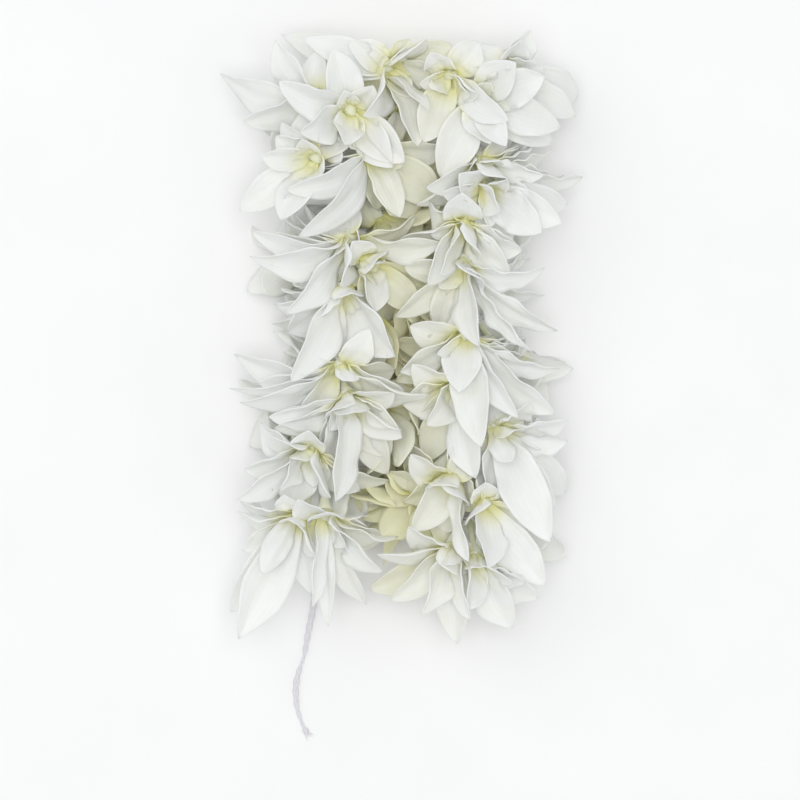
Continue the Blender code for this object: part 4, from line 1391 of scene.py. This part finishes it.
def binding_loop(bloom):
    """The yarn wound round a bloom's foot and the thread, as points along it."""
    middle = (bloom["knot"] + bloom["foot"]) * 0.5
    wide = (bloom["foot"] - bloom["knot"]).normalized()
    along = Vector((0, -1, 0))
    high = wide.cross(along).normalized()
    line = []
    for step in range(LOOP_STEPS + 1):
        share = step / LOOP_STEPS
        angle = 2 * math.pi * LOOP_TURNS * share
        line.append((middle + wide * LOOP_WIDE * math.cos(angle) + high * LOOP_HIGH * math.sin(angle)
                     + along * LOOP_PITCH * (share - 0.5) * LOOP_TURNS, LOOP_RADIUS))
    return line


loop_sweep = sweep_tree("binding loop along its curve", cotton_finish)
for side, route in (("left", LEFT_THREAD), ("right", RIGHT_THREAD)):
    fine_line = thread_line(route, round(length_of(thread_line(route)) / LINE_STEP))
    thread = grown(scaled_curve(f"{side}_line", [[(place, 1.0) for place in fine_line]]),
                   plies_round_a_line)
    loops = grown(new_curve(f"{side}_loops", [binding_loop(b) for b in blooms if b["side"] == side]),
                  loop_sweep, {"Sides": LOOP_SIDES})
    piece = joined(f"{side}_garland_thread", [thread, loops])
    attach(piece, "root")
    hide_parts(f"{side}_thread")
    print(piece.name, triangles(piece), "triangles")

# %% [markdown]
# The loose end is a free cord: it leaves the last knot, drops to the table, and trails there.
# It is the same twisted thread, a little thinner where it has been pulled, and it ends in a
# small knot with frayed fibres.

# %% Build the loose end
TAIL_STEPS = 180
KNOT_SIZE = 0.17
KNOT_DEPTH = 1.2
KNOT_DROP = 0.1
KNOT_YARN = 0.26
KNOT_STEPS = 60
FRAY_COUNT = 9
FRAY_LENGTH = (1.2, 2.4)
FRAY_SPREAD = 38
FRAY_DROOP = 0.55
FRAY_BEND = 0.5
FRAY_RADIUS = 0.07
TAIL_FULLNESS = [(0, 1), (0.62, 1), (0.675, 0.85), (0.72, 0.45), (0.77, 0.8), (0.82, 1.05),
                 (0.91, 0.75), (0.97, 0.5), (1, 0.5)]


def end_knot(end):
    """An overhand knot, as the closed curve that it follows."""
    middle = end - Vector((0, 0, KNOT_DROP))
    line = []
    for step in range(KNOT_STEPS + 1):
        t = 2 * math.pi * step / KNOT_STEPS
        turn = Vector((math.sin(t) + 2 * math.sin(2 * t), math.cos(t) - 2 * math.cos(2 * t),
                       -KNOT_DEPTH * math.sin(3 * t)))
        line.append((middle + KNOT_SIZE * turn, KNOT_YARN))
    return line


def frayed_ends(end, way):
    """Short fibres that fan out beyond the knot."""
    draw = random.Random("frayed end")
    lines = []
    for _ in range(FRAY_COUNT):
        spread = math.radians(draw.uniform(-FRAY_SPREAD, FRAY_SPREAD))
        heading = Matrix.Rotation(spread, 3, "Z") @ way
        length = draw.uniform(*FRAY_LENGTH)
        sideways = heading.cross(Vector((0, 0, 1))) * draw.uniform(-FRAY_BEND, FRAY_BEND)
        bend = sideways - Vector((0, 0, FRAY_DROOP))
        lines.append([(end + heading * length * t + bend * t * t, FRAY_RADIUS * (1.2 - t))
                      for t in (0, 0.25, 0.5, 0.75, 1.0)])
    return lines


tail_line = smooth_line(TAIL_ROUTE, TAIL_STEPS)
fullness = np.interp(np.linspace(0, 1, TAIL_STEPS), *zip(*TAIL_FULLNESS))
tail_full = [(place, float(full)) for place, full in zip(tail_line, fullness)]
tail_mesh = grown(scaled_curve("tail_line", [tail_full]), plies_round_a_line)
tail_way = (tail_line[-1] - tail_line[-4]).normalized()
knot_mesh = grown(new_curve("tail_knot", [end_knot(tail_line[-1]), *frayed_ends(tail_line[-1], tail_way)]),
                  loop_sweep, {"Sides": LOOP_SIDES})
tail = joined("loose_thread_end", [tail_mesh, knot_mesh])
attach(tail, "root")
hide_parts("thread_tail")
print("loose end", round(length_of(tail_line), 1), "mm long")
